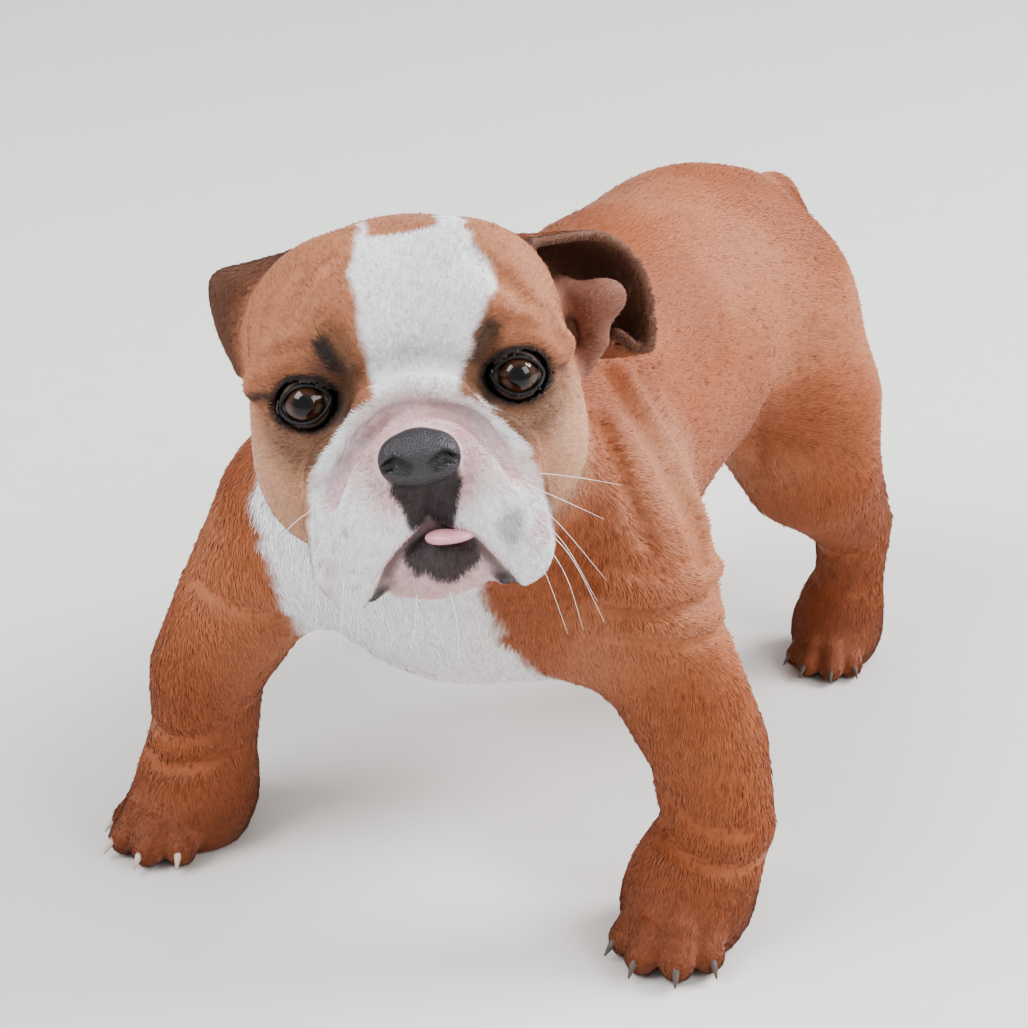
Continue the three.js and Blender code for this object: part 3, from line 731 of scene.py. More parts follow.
def white_shares(p, q, on_head, ragged):
    """How white each point is by blaze, muzzle, throat and bib, and how far it is on the muzzle."""
    x, y, z = q.T
    across, back, height = p.T
    blaze_inside = inside_edges(x, z, BLAZE_HEIGHTS, BLAZE_RIGHT_EDGE, BLAZE_LEFT_EDGE)
    blaze = ramp(blaze_inside + ragged * 0.7, -1.6, 2.0) * ramp(z, 0, 8) * fade(y, 0, 14)
    strip = ramp(13 - np.abs(x - 4) + ragged * 0.5, -1.5, 2) * ramp(z + 0.35 * y, 54, 57) * ramp(y, -24, -17)
    blaze *= 1 - strip * fade(y, 8, 22)
    roof = 11.5 - 0.0178 * x * x
    side = np.interp(-z, MUZZLE_DEPTHS, MUZZLE_HALF_WIDTHS) - np.abs(x)
    muzzle = ramp(np.minimum(roof - z, side) + ragged * 0.45, -1.2, 1.6) * fade(y, -32, -22)
    throat = ramp(-58 - z + ragged, -3, 4) * ramp(44 - np.abs(x + 6) + ragged, -2, 4) * fade(y, 10, 30)
    bib_inside = inside_edges(across, height, BIB_HEIGHTS, BIB_RIGHT_EDGE, BIB_LEFT_EDGE)
    bib = ramp(bib_inside + ragged * 1.1, -3, 5)
    bib *= fade(back - ragged * 2, 4, 22) * ramp(height, 84, 96) * fade(height, 220, 236)
    bib *= 1 - on_head * ramp(z, -76, -60)
    return np.maximum(np.maximum.reduce([blaze, muzzle, throat]) * on_head, bib), muzzle


def pink_share(p, q, on_head, face, muzzle, lips):
    """Where bare or thin-haired skin shows: round the nose, in the creases, on lips and chin."""
    x, y, z = q.T
    crease = distance_to_route(q, HEAD_FOLD_LINES["rope_crease"][0])
    chin = fade(y, -44, -34) * fade(np.abs(x - 2), 18, 22) * fade(z, -52, -44) * ramp(z, -80, -72)
    blush = np.maximum.reduce([
        muzzle * on_head * fade(oval(x, z, (0, -14), (19, 17)), 0.9, 1.7),
        muzzle * fade(crease, 1.5, 5.0),
        0.55 * muzzle * ramp(noise(p, 7, 5), 0.5, 0.85) * fade(z, -14, 0),
        face * fade(lips, 2, 7),
        0.95 * on_head * chin,
    ])
    return np.clip(0.78 * blush * (0.75 + 0.35 * noise(p, 4.5, 9)), 0, 1)


def black_share(p, q, on_head, front, muzzle, lips, ragged):
    """Lid rims and streaks, the furrows' patches, the dark below nose and lip, spots and dots."""
    x, y, z = q.T
    wavy = 0.9 + 0.35 * noise(p, 5, 6)
    below_pad = ramp(12.5 - np.abs(x - 1) - 0.35 * np.maximum(-24 - z, 0) + ragged * 0.3, -1, 1)
    below_pad *= fade(z, -18, -14) * ramp(z + 0.28 * np.abs(x - 1), -38.5, -36.5) * fade(y, -54, -50)
    under_lip = fade(oval(x, z, (4, -47), (14, 14.5)) - 0.05 * ragged, 0.88, 1.05)
    under_lip *= fade(z + 0.5 * np.abs(x - 4), -40, -36) * fade(y, -50, -44)
    spot = fade(oval(x, z, (29, -42), (5, 6.5)) - 0.12 * ragged, 0.5, 1.5)
    dots = ramp(noise(p, 3.4, 8), 0.80, 0.90) * ramp(np.abs(x), 14, 20) * fade(z, -32, -24) * muzzle
    dark = [
        below_pad,
        0.94 * under_lip,
        0.42 * spot * front,
        fade(lips, 2.6, 5.0) * fade(z, -62, -54) * front,
        0.8 * fade(lips, 1.6, 3.0) * front,
        0.28 * dots,
        0.5 * line_mask(q, CHEEK_LINE, 4) * on_head * front,
    ]
    for s, streak, furrow in zip((1, -1), EYE_STREAKS, FURROWS):
        rim = oval(x, z, (s * EYE_SIDE, EYE_HIGH), (11.2, 9.4))
        dark.append(fade(rim + 0.03 * ragged, 1.06, 1.34))
        dark.append(0.8 * line_mask(q, streak, 3.8, 0.1))
        dark.append(0.95 * fade(distance_to_route(q, furrow) * wavy, 2.2, 6.5))
    return 0.96 * on_head * np.maximum.reduce(dark)


def coat_colour(p, tones):
    """The coat's colour at each point, in millimetres of the puppy's frame, with painted shade down the lower
    legs and paws and a painted highlight on the left shoulder.
    """
    q = to_head(p)
    x, y, z = q.T
    ragged = (noise(p, 6.0) - 0.5) * 5 + (noise(p, 2.0, 1) - 0.5) * 2.4
    slow = noise(p, 38, 3)
    lips = lip_distance(q)
    on_head = fade(0.87 * y - 0.5 * z, 20, 44) * fade(np.abs(q).max(1), 100, 118)
    front = fade(y, -12, 8)
    colour = red_coat(p, q, on_head, on_head * front, slow, tones)
    white, muzzle = white_shares(p, q, on_head, ragged)
    colour = mixed(colour, mixed(tones["white"], tones["cream"], 0.16 * ramp(slow, 0.4, 0.9)), white)
    colour = mixed(colour, tones["pink"], pink_share(p, q, on_head, on_head * front, muzzle, lips))
    colour = mixed(colour, tones["black"], black_share(p, q, on_head, front, muzzle, lips, ragged))
    for ear in EAR_SHAPES:
        near, index, far = ear.nearest(q, 7)
        place = ear.place[index]
        inner = ramp(((q[near] - ear.points[index]) * ear.facing[index]).sum(1), -1.0, 1.5)
        ear_tone = mixed(tones["ear"], tones["ear_inside"], np.maximum(inner, ramp(place, 0.86, 0.98)) * 0.9)
        colour[near] = mixed(colour[near], ear_tone, 0.9 * fade(far, 4, 6) * ramp(place, 0.05, 0.3))
    colour = mixed(colour, tones["ear_knob"], 0.8 * fade(EAR_KNOB(q), 0, 2.2))
    return np.clip(colour * (0.93 + 0.14 * noise(p, 1.2, 2)[:, None]), 0, 1)


# Building meshes in the frame's place


def mean_box(nodes):
    boxes = np.array([[list(corner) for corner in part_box(node)] for node in nodes])
    return boxes.mean((0, 1))


EYES_IN_DESIGN = np.mean([from_head(eye_centre(s)) for s in (1, -1)], 0)
ORIGIN = mean_box(["eye_left", "eye_right"]) - EYES_IN_DESIGN * MM
ORIGIN[2] = 0.0


def placed(p):
    """Millimetres of the puppy's frame to the scene's metres."""
    return np.asarray(p, float) * MM + ORIGIN


def add_piece(name, points, faces, colours, material, replaces=()):
    """A smooth mesh from points in millimetres, with its tint, material and body."""
    mesh = bpy.data.meshes.new(name)
    places, faces = placed(points).astype(np.float32), np.asarray(faces, np.int32)
    mesh.vertices.add(len(places))
    mesh.vertices.foreach_set("co", places.ravel())
    mesh.loops.add(faces.size)
    mesh.loops.foreach_set("vertex_index", faces.ravel())
    mesh.polygons.add(len(faces))
    mesh.polygons.foreach_set("loop_start", np.arange(len(faces), dtype=np.int32) * faces.shape[1])
    mesh.polygons.foreach_set("loop_total", np.full(len(faces), faces.shape[1], np.int32))
    mesh.update(calc_edges=True)
    mesh.validate()
    mesh.shade_smooth()
    tint = np.ones((len(places), 4), np.float32)
    tint[:, :3] = colours
    mesh.color_attributes.new("tint", "FLOAT_COLOR", "POINT").data.foreach_set("color", tint.ravel())
    mesh.materials.append(material)
    piece = bpy.data.objects.new(name, mesh)
    bpy.context.scene.collection.objects.link(piece)
    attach(piece, BODY)
    if replaces:
        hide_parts(*replaces)
    return piece


def tube_faces(rings, sides):
    """Four-sided faces from each ring of points to the next, and from the last to the first."""
    i, j = np.divmod(np.arange(rings * sides), sides)
    k, above = (j + 1) % sides, (i + 1) % rings
    return np.stack([i * sides + j, i * sides + k, above * sides + k, above * sides + j], 1)


def capped(rings, ends):
    """Points and faces of a tube from its rings of points, closed round one point at each end."""
    count, sides = rings.shape[:2]
    j = np.arange(0, sides, 2)
    k, m = j + 1, (j + 2) % sides
    first_end = np.full(len(j), count * sides)
    last_ring = first_end - sides
    fans = np.stack([[first_end, m, k, j], [first_end + 1, last_ring + j, last_ring + k, last_ring + m]])
    faces = [tube_faces(count, sides)[:-sides], fans.transpose(2, 0, 1).reshape(-1, 4)]
    return np.vstack([rings.reshape(-1, 3), ends]), np.vstack(faces)


def swept(route, radii, sides):
    """A closed tube along a route."""
    up = np.array([0.0, 0.0, 1.0])
    along = unit(np.gradient(route, axis=0))
    if abs(along[0][2]) >= 0.9:
        up = np.array([1.0, 0.0, 0.0])
    a = np.arange(sides) / sides * 2 * math.pi
    rings = []
    for centre, t, r in zip(route, along, radii):
        side = np.cross(up, t)
        side /= np.linalg.norm(side)
        up = np.cross(t, side)
        rings.append(centre + r * (np.cos(a)[:, None] * side + np.sin(a)[:, None] * up))
    return capped(np.array(rings), [route[0], route[-1]])


def ring_tube(route, radius, sides):
    """A tube along a closed route."""
    along = unit(np.roll(route, -1, 0) - np.roll(route, 1, 0))
    out = route - route.mean(0)
    out = unit(out - (out * along).sum(1)[:, None] * along)
    third = np.cross(along, out)
    a = np.arange(sides) / sides * 2 * math.pi
    ring = np.cos(a)[None, :, None] * out[:, None] + np.sin(a)[None, :, None] * third[:, None]
    points = (route[:, None] + radius * ring).reshape(-1, 3)
    return points, tube_faces(len(route), sides)[:, [0, 3, 2, 1]]


def joined(parts):
    points, faces, start = [], [], 0
    for p, f in parts:
        points.append(p)
        faces.append(f + start)
        start += len(p)
    return np.concatenate(points), np.concatenate(faces)


# Materials


class Shader:
    """A material's nodes, made by short calls."""

    def __init__(self, name):
        self.material = bpy.data.materials.new(name)
        self.material.use_nodes = True
        self.tree = self.material.node_tree
        self.surface = self.tree.nodes["Principled BSDF"]

    def node(self, kind, **values):
        """A new node, with values on its inputs."""
        made = self.tree.nodes.new(kind)
        for key, value in values.items():
            made.inputs[key.replace("_", " ")].default_value = value
        return made

    def link(self, source, target):
        self.tree.links.new(source, target)

    def fixed(self, **values):
        for key, value in values.items():
            self.surface.inputs[key.replace("_", " ")].default_value = value

    def tint(self):
        node = self.node("ShaderNodeVertexColor")
        node.layer_name = "tint"
        return node.outputs["Color"]

    def texture(self, kind, scale, stretch=(1, 1, 1), output="Fac", **values):
        """A texture's output, laid out in the object's own space."""
        place = self.node("ShaderNodeTexCoord")
        mapping = self.node("ShaderNodeMapping", Scale=stretch)
        texture = self.node(kind, Scale=scale, **values)
        self.link(place.outputs["Object"], mapping.inputs["Vector"])
        self.link(mapping.outputs["Vector"], texture.inputs["Vector"])
        return texture.outputs[output]

    def spanned(self, factor, low, high):
        span = self.node("ShaderNodeMapRange", To_Min=low, To_Max=high)
        self.link(factor, span.inputs["Value"])
        return span.outputs["Result"]

    def coloured(self, colour, factor, low, high):
        """The surface's colour, lightened and darkened by a texture."""
        scaled = self.node("ShaderNodeVectorMath")
        scaled.operation = "SCALE"
        self.link(colour, scaled.inputs[0])
        self.link(self.spanned(factor, low, high), scaled.inputs["Scale"])
        self.link(scaled.outputs["Vector"], self.surface.inputs["Base Color"])

    def rough(self, factor, low, high):
        self.link(self.spanned(factor, low, high), self.surface.inputs["Roughness"])

    def bump(self, *heights):
        """Each height is a socket, a distance in metres and a strength."""
        normal = None
        for socket, distance, strength in heights:
            node = self.node("ShaderNodeBump", Distance=distance, Strength=strength)
            self.link(socket, node.inputs["Height"])
            if normal:
                self.link(normal, node.inputs["Normal"])
            normal = node.outputs["Normal"]
        self.link(normal, self.surface.inputs["Normal"])


# Looks that follow one fine noise: its scale, the ranges of tint and roughness, and the rest

LOOKS = {
    "short_coat": dict(scale=420, shade=(0.86, 1.14), roughness=(0.42, 0.62),
                       Sheen_Weight=0.3, Sheen_Roughness=0.35, Specular_IOR_Level=0.4),
    "wet_eye": dict(scale=500, detail=3.0, shade=(0.8, 1.2), roughness=(0.08, 0.16),
                    Specular_IOR_Level=0.25, Coat_Weight=0.7, Coat_Roughness=0.015, Coat_IOR=1.38),
    "lid_rim": dict(scale=600, shade=(0.8, 1.2), roughness=(0.55, 0.7), bump=(0.0002, 0.3),
                    Specular_IOR_Level=0.35, Coat_Weight=0.1, Coat_Roughness=0.1),
    "tongue": dict(scale=400, shade=(0.8, 1.2), roughness=(0.3, 0.45), bump=(0.0002, 0.3),
                   Specular_IOR_Level=0.5, Coat_Weight=0.4, Coat_Roughness=0.1),
    "claw_horn": dict(scale=300, stretch=(1, 1, 4), detail=3.0, shade=(0.75, 1.2),
                      roughness=(0.3, 0.5), bump=(0.0002, 0.4)),
    "whisker": dict(scale=200, shade=(0.9, 1.1), roughness=(0.3, 0.4)),
}


def grained(name, scale, shade, roughness, bump=None, stretch=(1, 1, 1), detail=2.0, **values):
    """A material whose tint, roughness and height follow one fine noise."""
    shader = Shader(name)
    grain = shader.texture("ShaderNodeTexNoise", scale, stretch, Detail=detail)
    shader.coloured(shader.tint(), grain, *shade)
    shader.rough(grain, *roughness)
    shader.fixed(**values)
    if bump:
        shader.bump((grain, *bump))
    return shader.material


def look(name):
    return grained(name, **LOOKS[name])


def skin_material():
    shader = Shader("short_coat_ground")
    hairs = shader.texture("ShaderNodeTexNoise", 900, (1, 0.28, 0.6), Detail=3.0, Roughness=0.6)
    grain = shader.texture("ShaderNodeTexNoise", 260, Detail=2.0)
    shader.coloured(shader.tint(), hairs, 0.72, 1.2)
    shader.rough(grain, 0.5, 0.72)
    shader.fixed(Sheen_Weight=0.25, Sheen_Roughness=0.4, Specular_IOR_Level=0.35)
    shader.bump((grain, 0.0008, 0.5), (hairs, 0.0005, 0.7))
    return shader.material


def nose_material():
    shader = Shader("nose_leather")
    pebbles = shader.texture("ShaderNodeTexVoronoi", 1500, output="Distance")
    cloud = shader.texture("ShaderNodeTexNoise", 160, Detail=3.0)
    shader.coloured(shader.tint(), cloud, 0.75, 1.25)
    shader.rough(cloud, 0.28, 0.5)
    shader.fixed(Specular_IOR_Level=0.6)
    shader.bump((pebbles, 0.0005, 0.6), (cloud, 0.0006, 0.35))
    return shader.material


def floor_material():
    shader = Shader("pale_floor")
    grain = shader.texture("ShaderNodeTexNoise", 40, Detail=4.0)
    base = shader.node("ShaderNodeRGB")
    base.outputs[0].default_value = (0.74, 0.73, 0.71, 1)
    shader.coloured(base.outputs[0], grain, 0.98, 1.02)
    shader.rough(grain, 0.6, 0.7)
    shader.bump((grain, 0.0005, 0.1))
    return shader.material


# Pieces

SIDES = ("_left", "_right")
FLESH_NODES = ["torso", "neck", "tail", "head", "lower_jaw", "ear_left", "ear_right"]
FLESH_NODES += [part + side for part in ("foreleg", "forepaw", "thigh", "hock", "hindpaw") for side in SIDES]
HEAD_MIDDLE = [0, -5, 0]
HEAD_CORE, HEAD_CUT, HEAD_REACH = 76, 92, 98  # from its middle: all head, the pieces' cut, no more head
SKIN = {}


def head_share(q):
    return fade(np.linalg.norm(q - HEAD_MIDDLE, axis=1), HEAD_CORE, HEAD_REACH)


def skin_shape(fine, coarse, depth):
    """The ground skin's points and its four-sided faces, lying under the coat's depth."""
    across = grid_lines(-162, (-62, coarse), (112, fine), (150, coarse))
    back = grid_lines(-150, (-140, coarse), (-8, fine), (362, coarse))
    up = grid_lines(-4, (162, coarse), (336, fine))

    def ground(p):
        return flesh(p) + depth * ramp(p[:, 2], 0, 8)

    points, faces = meshed(ground, (across, back, up))
    return settled(ground, relaxed(points, faces), most=1.2), faces


def point_normals(points, faces):
    a, b, c, d = (points[faces[:, i]] for i in range(4))
    flat = unit(np.cross(c - a, d - b))
    out = np.zeros_like(points)
    for i in range(4):
        for axis in range(3):
            out[:, axis] += np.bincount(faces[:, i], flat[:, axis], len(points))
    return unit(out)


def coat_flow(p, normal):
    """Which way the hair lies at each point, along the skin."""
    q = to_head(p)
    low = fade(p[:, 2], 95, 150)
    body = [0.0, 1.0, -0.25]
    for share, way in (
        (low, [0.0, 0.15, -1.0]),
        (fade(p[:, 1], -30, 20) * (1 - low), [0.0, 0.1, -1.0]),
        (ramp(p[:, 1], 275, 300), [0.05, 0.6, -0.8]),
        (fade(p[:, 2], 14, 34), [0.0, -1.0, -0.5]),
    ):
        body = mixed(body, way, share)
    head = unit((q - [0, -66, -2]) * [1, 0.8, 1])
    head = mixed(head, [0.0, 0.35, -1.0], fade(q[:, 2], -44, -22) * 0.7)
    for ear in EAR_SHAPES:
        near, index, far = ear.nearest(q, 6)
        head[near] = mixed(head[near], [-0.8, 0.1, -0.7], fade(far, 3, 5))
    flow = mixed(body, head @ HEAD_AXES.T, head_share(q))
    wander = np.stack([noise(p, 26, seed) for seed in (11, 12, 13)], 1) - 0.5
    flow = flow + wander * 0.5
    return unit(flow - (flow * normal).sum(1)[:, None] * normal)


def bare(p):
    """1 where no hair grows: nose, lips, lids and inside the mouth."""
    q = to_head(p)
    pad = fade(nose_field(q), 1.0, 2.2)
    for s in (1, -1):
        turned = (q - eye_centre(s)) @ turn_about("z", EYE_OUTWARD * s)
        rim = oval(turned[:, 0], turned[:, 2], (0, 0), (EYE_HALF_WIDE + 2.2, EYE_HALF_HIGH + 2.2))
        pad = np.maximum(pad, fade(rim, 1.0, 1.1) * (q[:, 1] < EYE_BACK))
    pad = np.maximum(pad, fade(lip_distance(q), 1.8, 2.8))
    black = (np.abs(q[:, 0]) < 10) & (q[:, 2] < -14) & (q[:, 2] > -36) & (q[:, 1] < -52)
    return np.maximum(pad, np.where(black, 0.7, 0.0))


COAT_PIECES = ["coat_" + part + side for part in ("head", "shoulder", "haunch") for side in SIDES[::-1]]
COAT_PIECES += ["coat_forelegs", "coat_hindlegs", "coat_muzzle"]


def piece_of(p):
    """The name of the coat's piece that each point belongs to."""
    q = to_head(p)
    head = np.linalg.norm(q - HEAD_MIDDLE, axis=1) < HEAD_CUT
    leg = p[:, 2] < 118
    fore = p[:, 1] < 120
    left = p[:, 0] > 0
    tests = {
        "coat_muzzle": head & (q[:, 1] < -30) & (q[:, 2] < 10),
        "coat_head_left": head & (q[:, 0] > 1),
        "coat_head_right": head,
        "coat_forelegs": leg & fore,
        "coat_hindlegs": leg,
        "coat_shoulder_left": fore & left,
        "coat_shoulder_right": fore,
        "coat_haunch_left": left,
    }
    return np.select(list(tests.values()), list(tests), default="coat_haunch_right")


def turn_share(x, y):
    return np.arctan2(x, y) / (2 * math.pi) + 0.5


def unwrapped(p, name):
    """Each root's place on an unwrap of its piece's own round shape, from 0 to 1."""
    if name.startswith(("coat_head", "coat_muzzle")):
        q = to_head(p) - HEAD_MIDDLE
        u = turn_share(q[:, 0], -q[:, 1])
        v = np.arccos(np.clip(q[:, 2] / np.linalg.norm(q, axis=1), -1, 1)) / math.pi
    elif name.endswith("legs"):
        kind = "foreleg" if name == "coat_forelegs" else "hindleg"
        left, right = (np.mean(np.array(LEGS[kind + side]["route"])[:, :2], 0) for side in SIDES)
        on_left = p[:, 0] > 0
        off = p[:, :2] - np.where(on_left[:, None], left, right)
        u = turn_share(off[:, 0], off[:, 1]) * 0.48 + np.where(on_left, 0.51, 0.005)
        v = p[:, 2] / 125
    else:
        u = turn_share(p[:, 0], p[:, 2] - 165)
        v = (p[:, 1] + 130) / 480
    return np.clip(np.stack([u, v], 1) * 0.97 + 0.015, 0.004, 0.996)


def between(corners, s, t):
    """A value at a share of a face's width and height, from its four corners."""
    a, b, c, d = corners
    return (a * (1 - s) + b * s) * (1 - t) + (d * (1 - s) + c * s) * t


WIDTH_SHARE = 0.15  # a tuft's width for its length
FRINGE_SHARE = 0.03  # how many tufts stand out from the rest
MIDDLE_FLOOR, TIP_FLOOR = 0.3, 0.2  # the lowest a tuft's middle and tip come, in millimetres


def tufts(points, faces, settings, tones):
    """Roots spread over the skin by area, and the four points and colours of each lying tuft."""
    rng = np.random.default_rng(7)
    a, b, c, d = (points[faces[:, i]] for i in range(4))
    centre = (a + b + c + d) / 4
    size = np.linalg.norm(np.cross(c - a, d - b), axis=1) / 2
    q = to_head(centre)
    on_head = head_share(q)
    muzzle = on_head * fade(q[:, 1], -34, -18)
    paws = fade(centre[:, 2], 24, 44)
    length = settings.body_hair + (settings.head_hair - settings.body_hair) * on_head
    length = length + (settings.face_hair - length) * np.maximum(muzzle, paws * 0.8)
    for ear in EAR_SHAPES:
        near = ear.near(q, 3)
        length[near] = np.minimum(length[near], settings.face_hair * 0.9)
    width = length * WIDTH_SHARE
    want = size * settings.cover / (length * width) * (1 - bare(centre)) * (centre[:, 2] > 1.5)
    count = np.floor(want + rng.random(len(want))).astype(int)
    home = np.repeat(np.arange(len(faces)), count)
    s, t = rng.random((2, len(home)))[:, :, None]
    root = between([corner[home] for corner in (a, b, c, d)], s, t)
    normals = point_normals(points, faces)
    normal = unit(between([normals[faces[home, i]] for i in range(4)], s, t))
    flow = coat_flow(root, normal)
    n = len(root)
    turn = rng.normal(0, 0.16, n)[:, None]
    flow = flow * np.cos(turn) + np.cross(normal, flow) * np.sin(turn)
    side = np.cross(normal, flow)
    long = (length[home] * rng.uniform(0.75, 1.25, n))[:, None]
    fringe = (rng.random(n) < FRINGE_SHARE)[:, None]
    long = np.where(fringe, long * 1.2, long)
    wide = (width[home] * rng.uniform(0.7, 1.2, n))[:, None]
    lift = np.where(fringe, 0.2, rng.uniform(0.03, 0.11, n)[:, None])
    base = root - normal * 0.15
    middle = root + flow * long * 0.42 + normal * long * lift * 0.75
    tip = root + flow * long + normal * long * lift
    middle[:, 2] = np.maximum(middle[:, 2], MIDDLE_FLOOR)
    tip[:, 2] = np.maximum(tip[:, 2], TIP_FLOOR)
    four = np.stack([base, middle - side * wide / 2, tip, middle + side * wide / 2], 1)
    colour = coat_colour(root, tones)
    light = rng.normal(1.0, 0.06, n)[:, None]
    # Painted shade darkens each tuft towards its root, among the other tufts, and painted light brightens its
    # tip.
    shades = np.stack([colour * share for share in (0.9, 0.99, 1.06, 0.99)], 1) * light[:, None]
    return root, four, np.clip(shades, 0, 1)


def eyeball(s, side=48, rings=40):
    """A ball with its clear bulge, looking outwards, its faces, and its points before the turn."""
    a = np.linspace(0.02, math.pi - 0.02, rings)[:, None]
    t = np.arange(side) / side * 2 * math.pi
    radius = EYE_RADIUS - 0.35 + 0.9 * np.exp(-((a / 0.52) ** 4))
    ring = np.stack([np.cos(t) * np.sin(a), np.cos(a + 0 * t) * -1, np.sin(t) * np.sin(a)], -1)
    ends = [[0, -(EYE_RADIUS + 0.55), 0], [0, EYE_RADIUS - 0.35, 0]]
    points, faces = capped(ring * radius[:, :, None], ends)
    return points @ turn_about("z", EYE_OUTWARD * s).T + eye_centre(s), faces, points


def eye_colours(local, tones):
    """Pupil, brown iris with a darker rim, and a narrow white that ends in black."""
    off = np.hypot(local[:, 0], local[:, 2])
    turn = np.arctan2(local[:, 0], local[:, 2])
    spokes = 0.75 + 0.5 * noise(np.stack([turn * 6, off * 0.2, off * 0], 1), 0.4, 4)
    white = mixed(tones["eye_white"], tones["black"], ramp(off, 8.4, 9.4))
    iris = mixed(tones["iris"] * spokes[:, None], tones["pupil"], ramp(off, 5.8, 7.2))
    colour = mixed(iris, white, ramp(off, 7.5, 8.3))
    colour = mixed(colour, tones["pupil"], fade(off, 3.5, 4.2))
    return np.where(local[:, 1:2] < 0, colour, tones["black"])


def field_piece(field, low, high, cell):
    lines = [np.arange(a, b + cell, cell) for a, b in zip(low, high)]
    points, faces = meshed(field, lines, coarse=2, band=4)
    return settled(field, points), faces


TONGUE_TIP = blend(2, ball([7.5, -58, -43.6], [8.6, 6, 2.4]), ball([3, -57, -43], [5, 5, 2.2]))
CLAW_RADII = np.array([2.2, 2.3, 2.1, 1.7, 1.1, 0.35])
CLAW_ROOT_HEIGHT, CLAW_DROP = 11, 7.5


def claw_parts():
    """A curved cone for each toe of each paw, and how dark its paw's claws are."""
    parts, dark = [], []
    for name, leg in LEGS.items():
        size = leg["radii"][-1] / PAW_WIDE
        for angle in TOE_ANGLES:
            d = toe_direction(leg, angle)
            tip = np.array([*leg["paw"], 0.0]) + d * (toe_reach(angle) + 15) * size
            route = []
            for t in np.linspace(0, 1, len(CLAW_RADII)):
                height = np.array([0, 0, CLAW_ROOT_HEIGHT - CLAW_DROP * t * t])
                route.append(tip + d * (-5 + 10 * t) * size + height * size)
            parts.append(swept(route, CLAW_RADII * size, 10))
            dark.append(np.full(len(parts[-1][0]), 0.15 if name == "foreleg_right" else 0.9))
    points, faces = joined(parts)
    return points, faces, np.concatenate(dark)


WHISKERS = [
    [(33, -50, -28), (46, -60, -34), (62, -62, -44)],
    [(34, -47, -32), (46, -60, -44), (60, -62, -66)],
    [(32, -48, -36), (46, -58, -50), (56, -58, -74)],
    [(34, -46, -40), (48, -54, -56), (58, -50, -84)],
    [(30, -49, -40), (38, -60, -58), (44, -60, -84)],
    [(36, -45, -26), (52, -56, -28), (70, -54, -34)],
    [(37, -44, -46), (46, -52, -64), (50, -48, -86)],
    [(-32, -48, -30), (-42, -58, -44), (-50, -58, -62)],
    [(-34, -46, -36), (-42, -54, -54), (-46, -52, -76)],
    [(-30, -49, -42), (-34, -60, -60), (-38, -60, -80)],
    [(-35, -45, -26), (-48, -54, -32), (-60, -52, -42)],
    [(4, -50, -64), (5, -58, -76), (4, -62, -88)],
    [(-8, -50, -64), (-10, -58, -74), (-14, -60, -86)],
]


# Settings, shown in the sidebar


def colour_setting(name, description, value):
    return bpy.props.FloatVectorProperty(
        name=name, description=description, default=tone(*value), subtype="COLOR", size=3, min=0, max=1)


def size_setting(name, description, value, low, high):
    return bpy.props.FloatProperty(name=name, description=description, default=value, min=low, max=high)


class PuppySizes(bpy.types.PropertyGroup):
    fine_cell: size_setting("Head detail", "Spacing of points on the head, in millimetres", 1.35, 0.8, 8)
    body_cell: size_setting("Body detail", "Spacing of points on the body, in millimetres", 3.2, 1.5, 12)
    coat_depth: size_setting("Coat depth", "How far the ground skin lies under the coat", 1.0, 0.2, 3)
    body_hair: size_setting("Body hair", "Length of a tuft on the body, in millimetres", 4.0, 2, 12)
    head_hair: size_setting("Head hair", "Length of a tuft on the head, in millimetres", 2.8, 1, 8)
    face_hair: size_setting("Face hair", "Length of a tuft on muzzle and paws, in millimetres", 2.1, 1, 6)
    cover: size_setting("Cover", "Layers of tufts over each part of the skin", 2.6, 0.2, 5)
    whisker_width: size_setting("Whisker width", "A whisker's thickness at its root", 0.36, 0.1, 1)


class PuppyTones(bpy.types.PropertyGroup):
    red: colour_setting("Red", "The coat's main red", (168, 99, 62))
    # The coat's deeper red, also painted as shade down the lower legs.
    red_deep: colour_setting("Deep red", "The coat's deeper red", (142, 76, 44))
    # The tan of the head, also painted on the left shoulder as a highlight.
    tan: colour_setting("Tan", "The paler tan on head and shoulders", (192, 136, 104))
    cream: colour_setting("Cream", "The cream of the cheeks", (216, 184, 156))
    brown: colour_setting("Brown", "The dusky brown round the eyes", (112, 80, 58))
    white: colour_setting("White", "Blaze, muzzle and bib", (238, 238, 240))
    pink: colour_setting("Pink", "Bare and thinly haired skin", (212, 158, 158))
    black: colour_setting("Black", "Lids, lips and dark patches", (38, 34, 35))
    ear: colour_setting("Ear back", "The ear's outer side", (166, 110, 82))
    ear_inside: colour_setting("Ear rim", "The ear towards its rim", (92, 62, 50))
    ear_knob: colour_setting("Ear inside", "The bare folds inside the ear", (136, 92, 80))
    nose: colour_setting("Nose", "Nose leather", (50, 49, 53))
    tongue: colour_setting("Tongue", "Tip of the tongue", (206, 150, 158))
    iris: colour_setting("Iris", "The brown of the eye", (62, 38, 24))
    pupil: colour_setting("Pupil", "The black of the eye", (8, 7, 8))
    eye_white: colour_setting("Eye white", "The white of the eye", (120, 100, 92))
    claw_pale: colour_setting("Pale claw", "Claws of the right fore paw", (204, 186, 170))
    claw_dark: colour_setting("Dark claw", "All other claws", (58, 48, 44))


def chosen_tones():
    group = bpy.context.scene.puppy_tones
    return {key: np.array(getattr(group, key)) for key in PuppyTones.__annotations__}


class PuppySkin(bpy.types.Operator):
    """Makes the one skin of trunk, legs, head and ears, with its markings"""
    bl_idname = "puppy.skin"
    bl_label = "Skin"

    def execute(self, context):
        sizes = context.scene.puppy_sizes
        points, faces = skin_shape(sizes.fine_cell, sizes.body_cell, sizes.coat_depth)
        SKIN["points"], SKIN["faces"] = points, faces
        # Painted shade: the skin under the coat is a little darker than the tufts' markings.
        colours = coat_colour(points, chosen_tones()) * 0.92
        add_piece("skin", points, faces, colours, skin_material(), FLESH_NODES)
        return {"FINISHED"}


